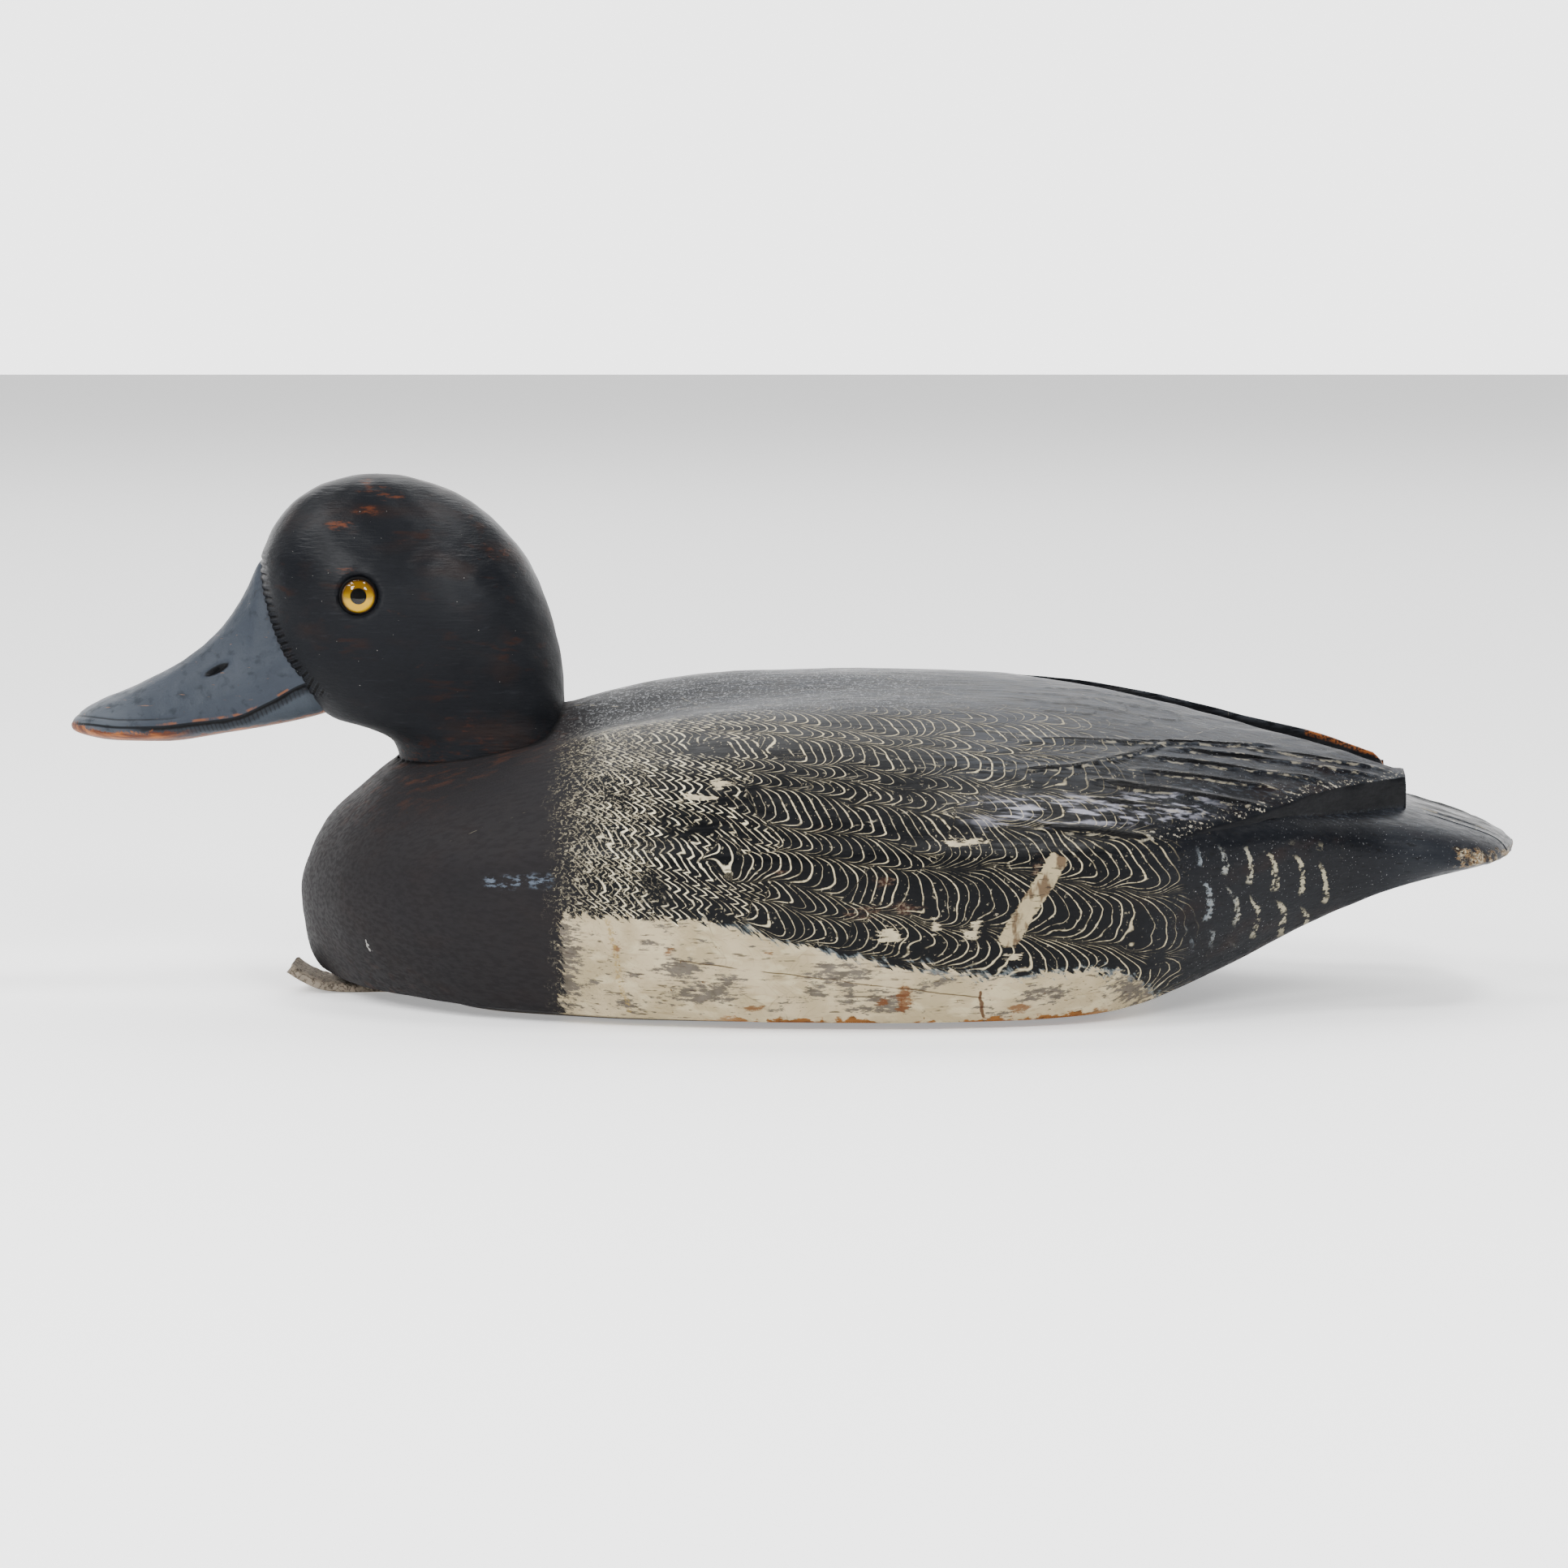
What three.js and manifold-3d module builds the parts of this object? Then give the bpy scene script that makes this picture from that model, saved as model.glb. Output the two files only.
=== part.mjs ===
// A working duck decoy, a drake bluebill, carved in wood and painted, in millimetres with +Z up.
// The bill points along -X and the decoy rests on the flat of its underside at z = 0.
// The origin is on the resting plane, half way between the tip of the bill and the tip of the tail.
import * as THREE from 'three';
import { mergeVertices } from 'three/addons/utils/BufferGeometryUtils.js';
import Module from 'manifold-3d';

const wasm = await Module();
wasm.setup();

// Main lengths of the carving
const BREAST_X = -126;
const TAIL_X = 185;
const BILL_TIP_X = -185;
const WING_START_X = 57; // where the cleft between the wings opens
const SHOULDER_X = 40; // where the wings start to draw in from the sides
const WING_STEP_X = 84; // where the wing's outer edge leaves the flank
const WING_TIP_X = 155;
const TIP_DROP = 0.3; // length over which the square wing tips fall to the rump

// Neck joint, eyes and line tie
const NECK_SEAT_Z = 56;
const POCKET_LEVELS = [62, 68, 76, 86];
const JOINT_GAP = 0.3;
const EYE = { x: -109, z: 103.3, radius: 4.9, dome: 2.0, depth: 3.6, proud: 1.3 };
const SOCKET_REACH = 8;
const TIE = { width: 17, thickness: 2.6 };
const TIE_SPINE = [[-101, 1.45], [-110, 1.4], [-117, 1.5], [-121.5, 2.3], [-125.5, 4.1], [-129.2, 6.3]];

// Mesh fineness
const BODY_STATIONS = 48;
const STATION_GAP = 2; // the least room between a section and one of the body's named places
const HEAD_LEVELS = 26;
const HEAD_SIDES = 28;
const BILL_STATIONS = 16;
const BILL_SIDES = 10;
const EYE_SIDES = 20;
const DOME_STEPS = 6;
const TIE_STEPS = 14;

// Colours seen on the old paint
const BLACK_PAINT = 0x24262a;
const HEAD_PAINT = 0x232226;
const GLASS_YELLOW = 0xd9a520;
const OLD_LEATHER = 0x7d7263;

// Places where the cross-section turns from the flank to the back, as shares of its half width
const SHOULDER_SHARE = 0.95;
const WING_ROOT_SHARE = 0.9955;
const CLEFT_LIMIT = 0.8;
const CLEFT_WALL_LEAN = 0.93;

// Body outline, each a list of [x, value]. The stretch between two points is a smooth curve.
const BACK = [
  [-126, 27], [-125, 32.5], [-119, 45], [-111, 52.5], [-101, 60.4], [-80, 68.4], [-59, 74], [-38, 79.4],
  [-13, 82.4], [15, 83.2], [47, 82.2], [70, 80.1], [94, 75.6], [120, 69], [137, 64.6], [155, 58.6], [185, 50],
];
const RUMP = [
  [-126, 27], [-125, 32.5], [-119, 45], [-111, 52.5], [-101, 60.4], [-80, 68.4], [-59, 74], [-38, 79.4],
  [-13, 82.4], [15, 83.2], [47, 82.2], [57, 81.3], [72, 77.6], [89, 71.8], [107, 63.5], [122, 57.2],
  [132, 54], [143, 52.2], [155, 50.4], [160, 49.1], [172, 45.4], [181, 42.2], [185, 38.5],
];
const WAIST = [
  [-126, 27], [-100, 34], [-80, 38], [-40, 41], [50, 42.5], [84, 42.7], [107, 44], [122, 44.6], [132, 43.3],
  [147, 40.3], [163, 38.3], [171, 37.4], [185, 38.5],
];
const BEAM = [
  [-126, 0], [-120, 25], [-110, 40], [-100, 48.5], [-80, 59.5], [-60, 66.5], [-35, 72], [-5, 75], [25, 75],
  [55, 72.8], [75, 69.5], [84, 67.2], [90, 65.6], [100, 61.8], [107, 58.8], [120, 51.8], [132, 45.2],
  [147, 38.2], [163, 35.4], [172, 32.2], [185, 0],
];
const EDGE_Y = [
  [-126, 0], [-120, 6], [-113, 17], [-107, 24.5], [-98, 34], [-82, 46], [-62, 54.5], [-34, 62.5], [-4, 66],
  [25, 66.5], [53, 63.5], [75, 57], [86, 51.5], [107, 43], [133, 35], [157, 31.5], [170, 28.5], [185, 0],
];
const EDGE_Z = [
  [-126, 27], [-125.3, 17.5], [-123.4, 10.6], [-120, 6.4], [-113, 4.7], [-90, 3.7], [-34, 2.6], [0, 2.1],
  [30, 2], [60, 2.2], [75, 2.8], [86, 4.3], [95, 7.2], [101.5, 9.7], [113.7, 15], [126.3, 21.1], [139, 26.4],
  [151.7, 30.8], [164.4, 33.8], [172, 35.2], [185, 38.5],
];
const FLAT_Y = [
  [-126, 0], [-113, 7], [-100, 18], [-80, 33], [-60, 42], [-34, 50], [0, 53], [30, 53], [53, 50], [75, 42],
  [90, 34], [120, 24], [157, 20], [170, 17], [185, 0],
];
const KEEL = [
  [-126, 27], [-125.3, 16.8], [-123.4, 10], [-120, 5.9], [-113, 4.3], [-98, 3.3], [-88, 1.6], [-78, 0.3],
  [-70, 0], [72, 0], [80, 0.7], [88, 2.8], [95, 5.4], [101.5, 7.8], [113.7, 12.9], [126.3, 19.2], [139, 24.9],
  [151.7, 29.6], [164.4, 32.8], [172, 34.3], [185, 38.5],
];
const BACK_ROUNDNESS = [
  [-126, 2], [-101, 1.8], [-80, 1.65], [60, 1.65], [107, 1.62], [120, 1.65], [132, 1.85], [155, 1.8],
];
const RUMP_ROUNDNESS = [[60, 1.65], [107, 1.8], [122, 2.05], [132, 2.3], [143, 2.4], [155, 2.6], [185, 2.6]];
const CLEFT_Y = [[57, 0], [81, 9], [101, 11.5], [117, 14.5], [131, 18], [143, 18.8], [155, 17.8]];
const WING_EDGE_Y = [
  [84, 66.9], [90, 65], [100, 60], [110, 54.5], [120, 47.5], [130, 40], [140, 32], [150, 24.5], [155, 20.7],
];
// The shallow hollow that runs back from each side of the neck: its depth by [x, depth]
const HOLLOW_Y = 20;
const HOLLOW_WIDTH = 10;
const HOLLOW_DEPTH = [
  [-106, 0], [-99, 0.4], [-89, 1.4], [-78, 2.8], [-71, 3.5], [-58, 4.4], [-45, 4.3], [-26, 3.4], [5, 1.7],
  [33, 0.7], [57, 0],
];

// Carved lines on each wing, between the feather groups and the long primaries, by plan place [x, y]
const WING_LINES = [
  { width: 1.2, depth: 1, path: [[59, 45], [80, 41], [94, 36.5], [107, 31.5], [122, 25]] },
  { width: 1, depth: 0.9, path: [[53, 57.3], [61, 55], [71, 52.4], [81, 47], [88, 42], [95.6, 35.4]] },
  { width: 1, depth: 0.9, path: [[112, 30], [134, 26.3], [149, 20.8]] },
  { width: 1, depth: 1, path: [[92, 40], [116, 33.5], [133, 30.6], [147, 24.6]] },
  { width: 1, depth: 1, path: [[85, 45.4], [110, 40.3], [134, 34.8]] },
  { width: 1, depth: 1, path: [[82, 51], [101, 47.3], [121, 42.4]] },
  { width: 1.8, depth: 1.4, path: [[71, 56.8], [93, 54.2], [109, 51.1], [118.5, 48.4]] },
  { width: 0.9, depth: 0.8, path: [[69, 61.8], [92.4, 58.4], [102, 56.4]] },
  { width: 2, depth: 1.5, path: [[58, 69.2], [75, 67], [84, 65.5], [90, 64.3]] },
];

// Carved lines of the tail feathers on each side of its middle
const TAIL_LINES = [
  { width: 1, depth: 0.8, path: [[158, 7.6], [170, 7.2], [182, 6.2]] },
  { width: 1, depth: 0.8, path: [[158, 16.5], [169, 16.6], [180, 15.6]] },
  { width: 1, depth: 0.8, path: [[158, 24.4], [167, 24.6], [177, 23.6]] },
];
const WORN_SPAN = [8, 34];
const WORN_TIP = [[160, 72], [144, 72], [146.5, 62.3], [151.6, 59.9], [153.7, 57.9], [155.6, 54], [160, 54]];

// Segments from the keel's centre to the back's centre, between the section's named corners
const SECTION_STEPS = { flat: 1, bevel: 1, side: 4, rump: 2, step: 1, wing: 8, wall: 1, cleft: 2 };

// Head outline by height, each a list of [z, value]
const HEAD_TOP_Z = 133.2;
const HEAD_FRONT = [
  [56, -101.5], [61, -101], [64.5, -102.2], [66.5, -104.8], [68.5, -110], [71, -118], [74, -121.8],
  [80, -127.5], [88, -132.5], [98, -135], [106, -135.8], [111, -135.9], [116.4, -134.2], [121.5, -131.4],
  [126.4, -127], [130.5, -120.5], [131.7, -117], [132.6, -112.95], [133.06, -109.3], [133.2, -106],
];
const HEAD_REAR = [
  [56, -59.5], [74, -58.3], [84, -58.8], [94, -60.8], [104, -64], [111.4, -67.6], [121.4, -76],
  [126.4, -82.4], [130.5, -91], [131.7, -95], [132.6, -99.05], [133.06, -102.7], [133.2, -106],
];
const HEAD_WIDTH = [
  [56, 23.5], [62, 22.8], [70, 22.2], [78, 23.6], [88, 25.2], [98, 24.4], [108, 21.9], [118, 17.8],
  [126, 12.6], [130.5, 8], [131.7, 5.96], [132.6, 3.8], [133.06, 1.85], [133.2, 0],
];
const HEAD_ROUNDNESS = 2.15;
// The neck's rear half is squarer where it sits on the body
const REAR_ROUNDNESS = [[56, 3.5], [72, 3.3], [82, 2.7], [94, 2.2], [104, 2.15], [133.2, 2.15]];

// Bill outline, each a list of [x, value]
const BILL_ROOT_X = -112;
const CULMEN = [
  [-185, 68.3], [-183.6, 71.2], [-180, 73.9], [-169, 78.8], [-159, 83.7], [-151, 89.3], [-144.5, 96],
  [-139.5, 104], [-136, 111], [-132, 113.5], [-112, 112],
];
const MOUTH = [
  [-185, 68.3], [-183, 69.3], [-178.8, 69.5], [-170, 69], [-161, 69.1], [-153.4, 69.9], [-142.5, 71.2],
  [-132.7, 75.3], [-124.3, 79.8], [-112, 83],
];
const BILL_UNDER = [
  [-185, 68.3], [-181.6, 66.4], [-172, 65], [-160, 64.8], [-144, 67], [-125, 70.4], [-118, 72.5], [-112, 76],
];
const BILL_WIDTH = [[-185, 0], [-182, 7.5], [-176, 12], [-166, 13.6], [-150, 12.8], [-134, 12.6], [-112, 13]];
const BILL_TOP_ROUNDNESS = [[-185, 2], [-165, 1.9], [-150, 1.6], [-136, 1.45], [-112, 1.45]];
const LOWER_LAP = 1.5; // how far the lower mandible reaches up inside the upper one
const LOWER_ROUNDNESS = 3;
const LOWER_INSET = [[-185, 0.3], [-165, 0.5], [-150, 1.2], [-133, 2], [-112, 2.2]];
const NOSTRIL = { x: -146.6, z: 83.8, length: 6.4, height: 1.7, depth: 1.6, slope: 0.45 };

// A smooth curve through points that never swings past them: each point's slope is limited by its neighbours'.
function curveThrough(points, warp = (x) => x) {
  const xs = points.map((p) => warp(p[0]));
  const ys = points.map((p) => p[1]);
  const gaps = xs.slice(1).map((x, i) => x - xs[i]);
  const rises = gaps.map((gap, i) => (ys[i + 1] - ys[i]) / gap);
  const last = points.length - 1;
  const slopes = ys.map((_, i) => {
    if (i === 0) return rises[0];
    if (i === last) return rises[last - 1];
    if (rises[i - 1] * rises[i] <= 0) return 0;
    const before = 2 * gaps[i] + gaps[i - 1];
    const after = gaps[i] + 2 * gaps[i - 1];
    return (before + after) / (before / rises[i - 1] + after / rises[i]);
  });
  return (value) => {
    const x = Math.min(Math.max(warp(value), xs[0]), xs[last]);
    let i = 0;
    while (i < last - 1 && x > xs[i + 1]) i += 1;
    const t = (x - xs[i]) / gaps[i];
    const start = (1 + 2 * t) * (1 - t) ** 2 * ys[i] + t * (1 - t) ** 2 * gaps[i] * slopes[i];
    const end = t ** 2 * (3 - 2 * t) * ys[i + 1] + t ** 2 * (t - 1) * gaps[i] * slopes[i + 1];
    return start + end;
  };
}

// Turns a place between two ends into an angle, so that a blunt, round end stays round.
const roundEnds = (low, high) => (x) => {
  const share = (Math.min(Math.max(x, low), high) - low) / (high - low);
  return Math.acos(1 - 2 * share);
};
const placeAt = (share, low, high) => low + ((high - low) * (1 - Math.cos(Math.PI * share))) / 2;

const alongBody = roundEnds(BREAST_X, TAIL_X);
const body = {
  back: curveThrough(BACK, alongBody),
  rump: curveThrough(RUMP, alongBody),
  waist: curveThrough(WAIST, alongBody),
  beam: curveThrough(BEAM, alongBody),
  edgeY: curveThrough(EDGE_Y, alongBody),
  edgeZ: curveThrough(EDGE_Z, alongBody),
  flatY: curveThrough(FLAT_Y, alongBody),
  keel: curveThrough(KEEL, alongBody),
  backRoundness: curveThrough(BACK_ROUNDNESS),
  rumpRoundness: curveThrough(RUMP_ROUNDNESS),
  cleft: curveThrough(CLEFT_Y),
  wingEdge: curveThrough(WING_EDGE_Y),
  hollow: curveThrough(HOLLOW_DEPTH),
};

// The height of a rounded arch of height 1 at a share of its half width. Roundness 2 is an ellipse.
function bulge(share, roundness) {
  return Math.max(0, 1 - Math.min(1, Math.abs(share)) ** roundness) ** (1 / roundness);
}

// Height of the wings and the back above a place (x, y)
function backHeight(x, y) {
  const beam = body.beam(x);
  const roundness = body.backRoundness(x);
  const cleft = x > WING_START_X ? Math.min(body.cleft(x), beam * CLEFT_LIMIT) : 0;
  const rise = (body.back(x) - body.waist(x)) / bulge(cleft / beam, roundness);
  const hollow = body.hollow(x) * Math.exp(-(((Math.abs(y) - HOLLOW_Y) / HOLLOW_WIDTH) ** 2));
  return body.waist(x) + rise * bulge(y / beam, roundness) - hollow;
}

// Height of the rump and the tail above a place (x, y)
function rumpHeight(x, y) {
  return body.waist(x) + (body.rump(x) - body.waist(x)) * bulge(y / body.beam(x), body.rumpRoundness(x));
}

// The places at equal shares of one stretch of an outline, without its start
const stretch = (steps, pointAt) => Array.from({ length: steps }, (_, i) => pointAt((i + 1) / steps));

// One side of the body's outline at x, as [y, z] from the keel's centre up to the back's centre
function halfSection(x, winged) {
  const { lerp, smoothstep } = THREE.MathUtils;
  const steps = SECTION_STEPS;
  const [beam, waist, keel] = [body.beam(x), body.waist(x), body.keel(x)];
  if (beam < 1e-6) {
    const corners = Object.values(steps).reduce((sum, count) => sum + count, 1);
    return Array.from({ length: corners }, () => [0, waist]);
  }
  const [edgeY, edgeZ, flatY] = [body.edgeY(x), body.edgeZ(x), body.flatY(x)];
  const rootShare = lerp(SHOULDER_SHARE, WING_ROOT_SHARE, smoothstep(x, SHOULDER_X, WING_STEP_X));
  const stepY = Math.min(x > WING_STEP_X ? body.wingEdge(x) : beam, beam * rootShare);
  const cleftY = Math.min(x > WING_START_X ? body.cleft(x) : 0, stepY * CLEFT_LIMIT);
  const floorY = cleftY * CLEFT_WALL_LEAN;
  const top = winged ? backHeight : rumpHeight;
  const low = x > WING_START_X ? rumpHeight : backHeight;
  const foot = x > WING_STEP_X ? low : top;
  const across = (from, to, t) => beam * Math.cos(lerp(Math.acos(from / beam), Math.acos(to / beam), t));
  return [
    [0, keel],
    ...stretch(steps.flat, (t) => [flatY * t, keel]),
    ...stretch(steps.bevel, (t) => [lerp(flatY, edgeY, t), lerp(keel, edgeZ, t)]),
    ...stretch(steps.side, (t) => [beam - (beam - edgeY) * (1 - t) ** 2, lerp(edgeZ, waist, t)]),
    ...stretch(steps.rump, (t) => across(beam, stepY, t)).map((y) => [y, foot(x, y)]),
    ...stretch(steps.step, () => [stepY, top(x, stepY)]),
    ...stretch(steps.wing, (t) => across(stepY, cleftY, t)).map((y) => [y, top(x, y)]),
    ...stretch(steps.wall, () => [floorY, low(x, cleftY)]),
    ...stretch(steps.cleft, (t) => [floorY * (1 - t), low(x, cleftY * (1 - t))]),
  ];
}

// Joins rings of equal length into one closed skin. An end ring whose points all meet closes itself,
// and any other is capped flat.
function skin(rings) {
  const sides = rings[0].length;
  const points = rings.flat();
  const faces = [];
  for (let r = 0; r < rings.length - 1; r += 1) {
    for (let s = 0; s < sides; s += 1) {
      const [a, b] = [r * sides + s, r * sides + ((s + 1) % sides)];
      faces.push([a, b, b + sides], [a, b + sides, a + sides]);
    }
  }
  const lastRing = (rings.length - 1) * sides;
  for (let s = 1; s < sides - 1; s += 1) {
    faces.push([0, s + 1, s], [lastRing, lastRing + s, lastRing + s + 1]);
  }
  return solidFrom(points, faces);
}

// A closed solid from points and triangles, with shared points merged and its faces pointing out
function solidFrom(points, faces) {
  const loose = new THREE.BufferGeometry().setFromPoints(points);
  loose.setIndex(faces.flat());
  const merged = mergeVertices(loose, 1e-3);
  const vertProperties = merged.attributes.position.array;
  const index = Array.from(merged.index.array);
  const triangles = faces.map((_, i) => index.slice(3 * i, 3 * i + 3));
  const kept = triangles.filter(([a, b, c]) => a !== b && b !== c && c !== a);
  const build = (turned) => {
    const triVerts = new Uint32Array(turned.flat());
    return new wasm.Manifold(new wasm.Mesh({ numProp: 3, vertProperties, triVerts }));
  };
  const made = build(kept);
  return made.volume() > 0 ? made : build(kept.map(([a, b, c]) => [a, c, b]));
}

function meshOf(name, solid, material) {
  const made = solid.getMesh();
  const geometry = new THREE.BufferGeometry();
  geometry.setAttribute('position', new THREE.BufferAttribute(new Float32Array(made.vertProperties), 3));
  geometry.setIndex(new THREE.BufferAttribute(new Uint32Array(made.triVerts), 1));
  geometry.computeVertexNormals();
  const mesh = new THREE.Mesh(geometry, material);
  mesh.name = name;
  return mesh;
}

function solidOfGeometry(geometry) {
  const { position } = geometry.attributes;
  const points = Array.from({ length: position.count }, (_, i) => {
    return new THREE.Vector3().fromBufferAttribute(position, i);
  });
  const index = Array.from(geometry.index.array);
  const faces = Array.from({ length: index.length / 3 }, (_, i) => index.slice(3 * i, 3 * i + 3));
  return solidFrom(points, faces);
}

function bodyRing(x, winged) {
  const near = halfSection(x, winged);
  const left = near.map(([y, z]) => new THREE.Vector3(x, -y, z));
  const right = near.slice(1, -1).reverse().map(([y, z]) => new THREE.Vector3(x, y, z));
  return [...left, ...right];
}

function bodyHull() {
  const shares = Array.from({ length: BODY_STATIONS + 1 }, (_, i) => i / BODY_STATIONS);
  const places = shares.map((share) => placeAt(share, BREAST_X, TAIL_X));
  const marks = [WING_START_X, WING_STEP_X, WING_TIP_X];
  const kept = places.filter((x) => marks.every((mark) => Math.abs(x - mark) > STATION_GAP));
  const stations = [...kept, ...marks, WING_TIP_X + TIP_DROP].sort((a, b) => a - b);
  return skin(stations.map((x) => bodyRing(x, x <= WING_TIP_X)));
}

// A carved line's wedge stands proud of the surface, and is wider there
const NUDGE = 0.2;
const RIM_LIFT = 0.5;
const RIM_SHARE = 0.75;

// A thin wedge that cuts one carved line into the surface whose height is given, running out at both ends
function lineCutter({ path, width, depth }, heightAt, side) {
  const curve = new THREE.CatmullRomCurve3(path.map(([x, y]) => new THREE.Vector3(x, y, 0)));
  const steps = path.length * 2 - 2;
  const place = (x, y) => new THREE.Vector3(x, side * y, heightAt(x, y));
  const rings = Array.from({ length: steps + 1 }, (_, i) => {
    const t = i / steps;
    const { x, y } = curve.getPoint(t);
    const here = place(x, y);
    if (i === 0 || i === steps) return [here, here.clone(), here.clone()];
    const heading = curve.getTangent(t);
    const ahead = place(x + NUDGE, y + NUDGE * (heading.y / heading.x)).sub(here).normalize();
    const out = place(x, y - NUDGE).sub(here);
    const up = new THREE.Vector3().crossVectors(ahead, out).normalize();
    if (up.z < 0) up.negate();
    const across = new THREE.Vector3().crossVectors(up, ahead);
    const rim = (share) => here.clone().addScaledVector(up, RIM_LIFT).addScaledVector(across, share * width);
    return [rim(-RIM_SHARE), rim(RIM_SHARE), here.clone().addScaledVector(up, -depth)];
  });
  return skin(rings);
}

// The far wing's tip is worn round
function wornTip() {
  return skin(WORN_SPAN.map((y) => WORN_TIP.map(([x, z]) => new THREE.Vector3(x, y, z))));
}

function carvedBody() {
  const wingCuts = [-1, 1].flatMap((side) => WING_LINES.map((line) => lineCutter(line, backHeight, side)));
  const tailCuts = [-1, 1].flatMap((side) => TAIL_LINES.map((line) => lineCutter(line, rumpHeight, side)));
  const whole = bodyHull().subtract(neckPocket()).subtract(wornTip());
  return [...wingCuts, ...tailCuts].reduce((solid, cut) => solid.subtract(cut), whole);
}

const head = {
  front: curveThrough(HEAD_FRONT),
  rear: curveThrough(HEAD_REAR),
  width: curveThrough(HEAD_WIDTH),
  rearRoundness: curveThrough(REAR_ROUNDNESS),
};

// A level slice of the head or neck, grown all round by the amount given
function headRing(z, grow = 0) {
  const [front, rear] = [head.front(z), head.rear(z)];
  const middle = (front + rear) / 2;
  const length = (rear - front) / 2 + grow;
  const width = head.width(z) + grow;
  return Array.from({ length: HEAD_SIDES }, (_, i) => {
    const angle = (2 * Math.PI * i) / HEAD_SIDES;
    const [c, s] = [Math.cos(angle), Math.sin(angle)];
    const power = 2 / (c > 0 ? head.rearRoundness(z) : HEAD_ROUNDNESS);
    const across = Math.sign(s) * Math.abs(s) ** power;
    return new THREE.Vector3(middle + Math.sign(c) * Math.abs(c) ** power * length, across * width, z);
  });
}

function headHull() {
  const levels = Array.from({ length: HEAD_LEVELS }, (_, i) => {
    const share = Math.sin((Math.PI / 2) * ((i + 1) / HEAD_LEVELS));
    return NECK_SEAT_Z + (HEAD_TOP_Z - NECK_SEAT_Z) * share;
  });
  return skin([NECK_SEAT_Z, ...levels].map((z) => (z >= HEAD_TOP_Z ? crownRing() : headRing(z))));
}

function crownRing() {
  return Array.from({ length: HEAD_SIDES }, () => new THREE.Vector3(head.front(HEAD_TOP_Z), 0, HEAD_TOP_Z));
}

function neckPocket() {
  return skin([NECK_SEAT_Z - JOINT_GAP, ...POCKET_LEVELS].map((z) => headRing(z, JOINT_GAP)));
}

const alongBill = roundEnds(BILL_TIP_X, BILL_ROOT_X + (BILL_ROOT_X - BILL_TIP_X));
const bill = {
  top: curveThrough(CULMEN, alongBill),
  mouth: curveThrough(MOUTH, alongBill),
  under: curveThrough(BILL_UNDER, alongBill),
  width: curveThrough(BILL_WIDTH, alongBill),
  roundness: curveThrough(BILL_TOP_ROUNDNESS),
  inset: curveThrough(LOWER_INSET),
};

// Half a ring: an arch from one side of the bill over (or, with a negative rise, under) to the other
function arch(x, width, base, rise, roundness) {
  return Array.from({ length: BILL_SIDES + 1 }, (_, i) => {
    const angle = (Math.PI * i) / BILL_SIDES;
    const [c, s] = [Math.cos(angle), Math.sin(angle)];
    const power = 2 / roundness;
    const y = Math.sign(c) * Math.abs(c) ** power * width;
    return new THREE.Vector3(x, y, base + rise * Math.abs(s) ** power);
  });
}

function upperMandible(x) {
  const mouth = bill.mouth(x);
  return arch(x, bill.width(x), mouth, bill.top(x) - mouth, bill.roundness(x));
}

function lowerMandible(x) {
  const base = bill.mouth(x) + Math.min(LOWER_LAP, (bill.top(x) - bill.mouth(x)) / 3);
  const width = Math.max(0, bill.width(x) - bill.inset(x));
  return arch(x, width, base, bill.under(x) - base, LOWER_ROUNDNESS);
}

function billHull(ringAt) {
  const reach = 2 * (BILL_ROOT_X - BILL_TIP_X);
  const stations = Array.from({ length: BILL_STATIONS + 1 }, (_, i) =>
    placeAt(i / BILL_STATIONS / 2, BILL_TIP_X, BILL_TIP_X + reach),
  );
  return skin(stations.map(ringAt));
}

// A slit-shaped cut at the nostril on one side of the bill
function nostril(side) {
  const { x, z, length, height, depth, slope } = NOSTRIL;
  const share = (z - bill.mouth(x)) / (bill.top(x) - bill.mouth(x));
  const geometry = new THREE.SphereGeometry(1, 10, 6);
  geometry.scale(length / 2, depth, height / 2);
  geometry.rotateY(-slope);
  geometry.translate(x, side * bill.width(x) * bulge(share, bill.roundness(x)), z);
  return solidOfGeometry(geometry);
}

// The head's half width at the eye, worked out from the level slice there
function cheekAt(x, z) {
  const [front, rear] = [head.front(z), head.rear(z)];
  return head.width(z) * bulge((x - (front + rear) / 2) / ((rear - front) / 2), HEAD_ROUNDNESS);
}

// A turned solid on the eye's axis: side is -1 for the left eye and 1 for the right one
function turnedAtEye(profile, side) {
  const geometry = new THREE.LatheGeometry(profile.map(([r, h]) => new THREE.Vector2(r, h)), EYE_SIDES);
  if (side < 0) geometry.rotateX(Math.PI);
  geometry.translate(EYE.x, side * cheekAt(EYE.x, EYE.z), EYE.z);
  return solidOfGeometry(geometry);
}

const eyeRim = EYE.proud - EYE.dome;

function glassEye(side) {
  const dome = Array.from({ length: DOME_STEPS }, (_, i) => {
    const angle = (Math.PI / 2) * (i / DOME_STEPS);
    return [EYE.radius * Math.cos(angle), eyeRim + EYE.dome * Math.sin(angle)];
  });
  const back = eyeRim - EYE.depth;
  return turnedAtEye([[0, back], [EYE.radius, back], ...dome, [0, EYE.proud]], side);
}

function eyeSocket(side) {
  const radius = EYE.radius + JOINT_GAP;
  const floor = eyeRim - EYE.depth - JOINT_GAP;
  return turnedAtEye([[0, floor], [radius, floor], [radius, SOCKET_REACH], [0, SOCKET_REACH]], side);
}

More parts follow.
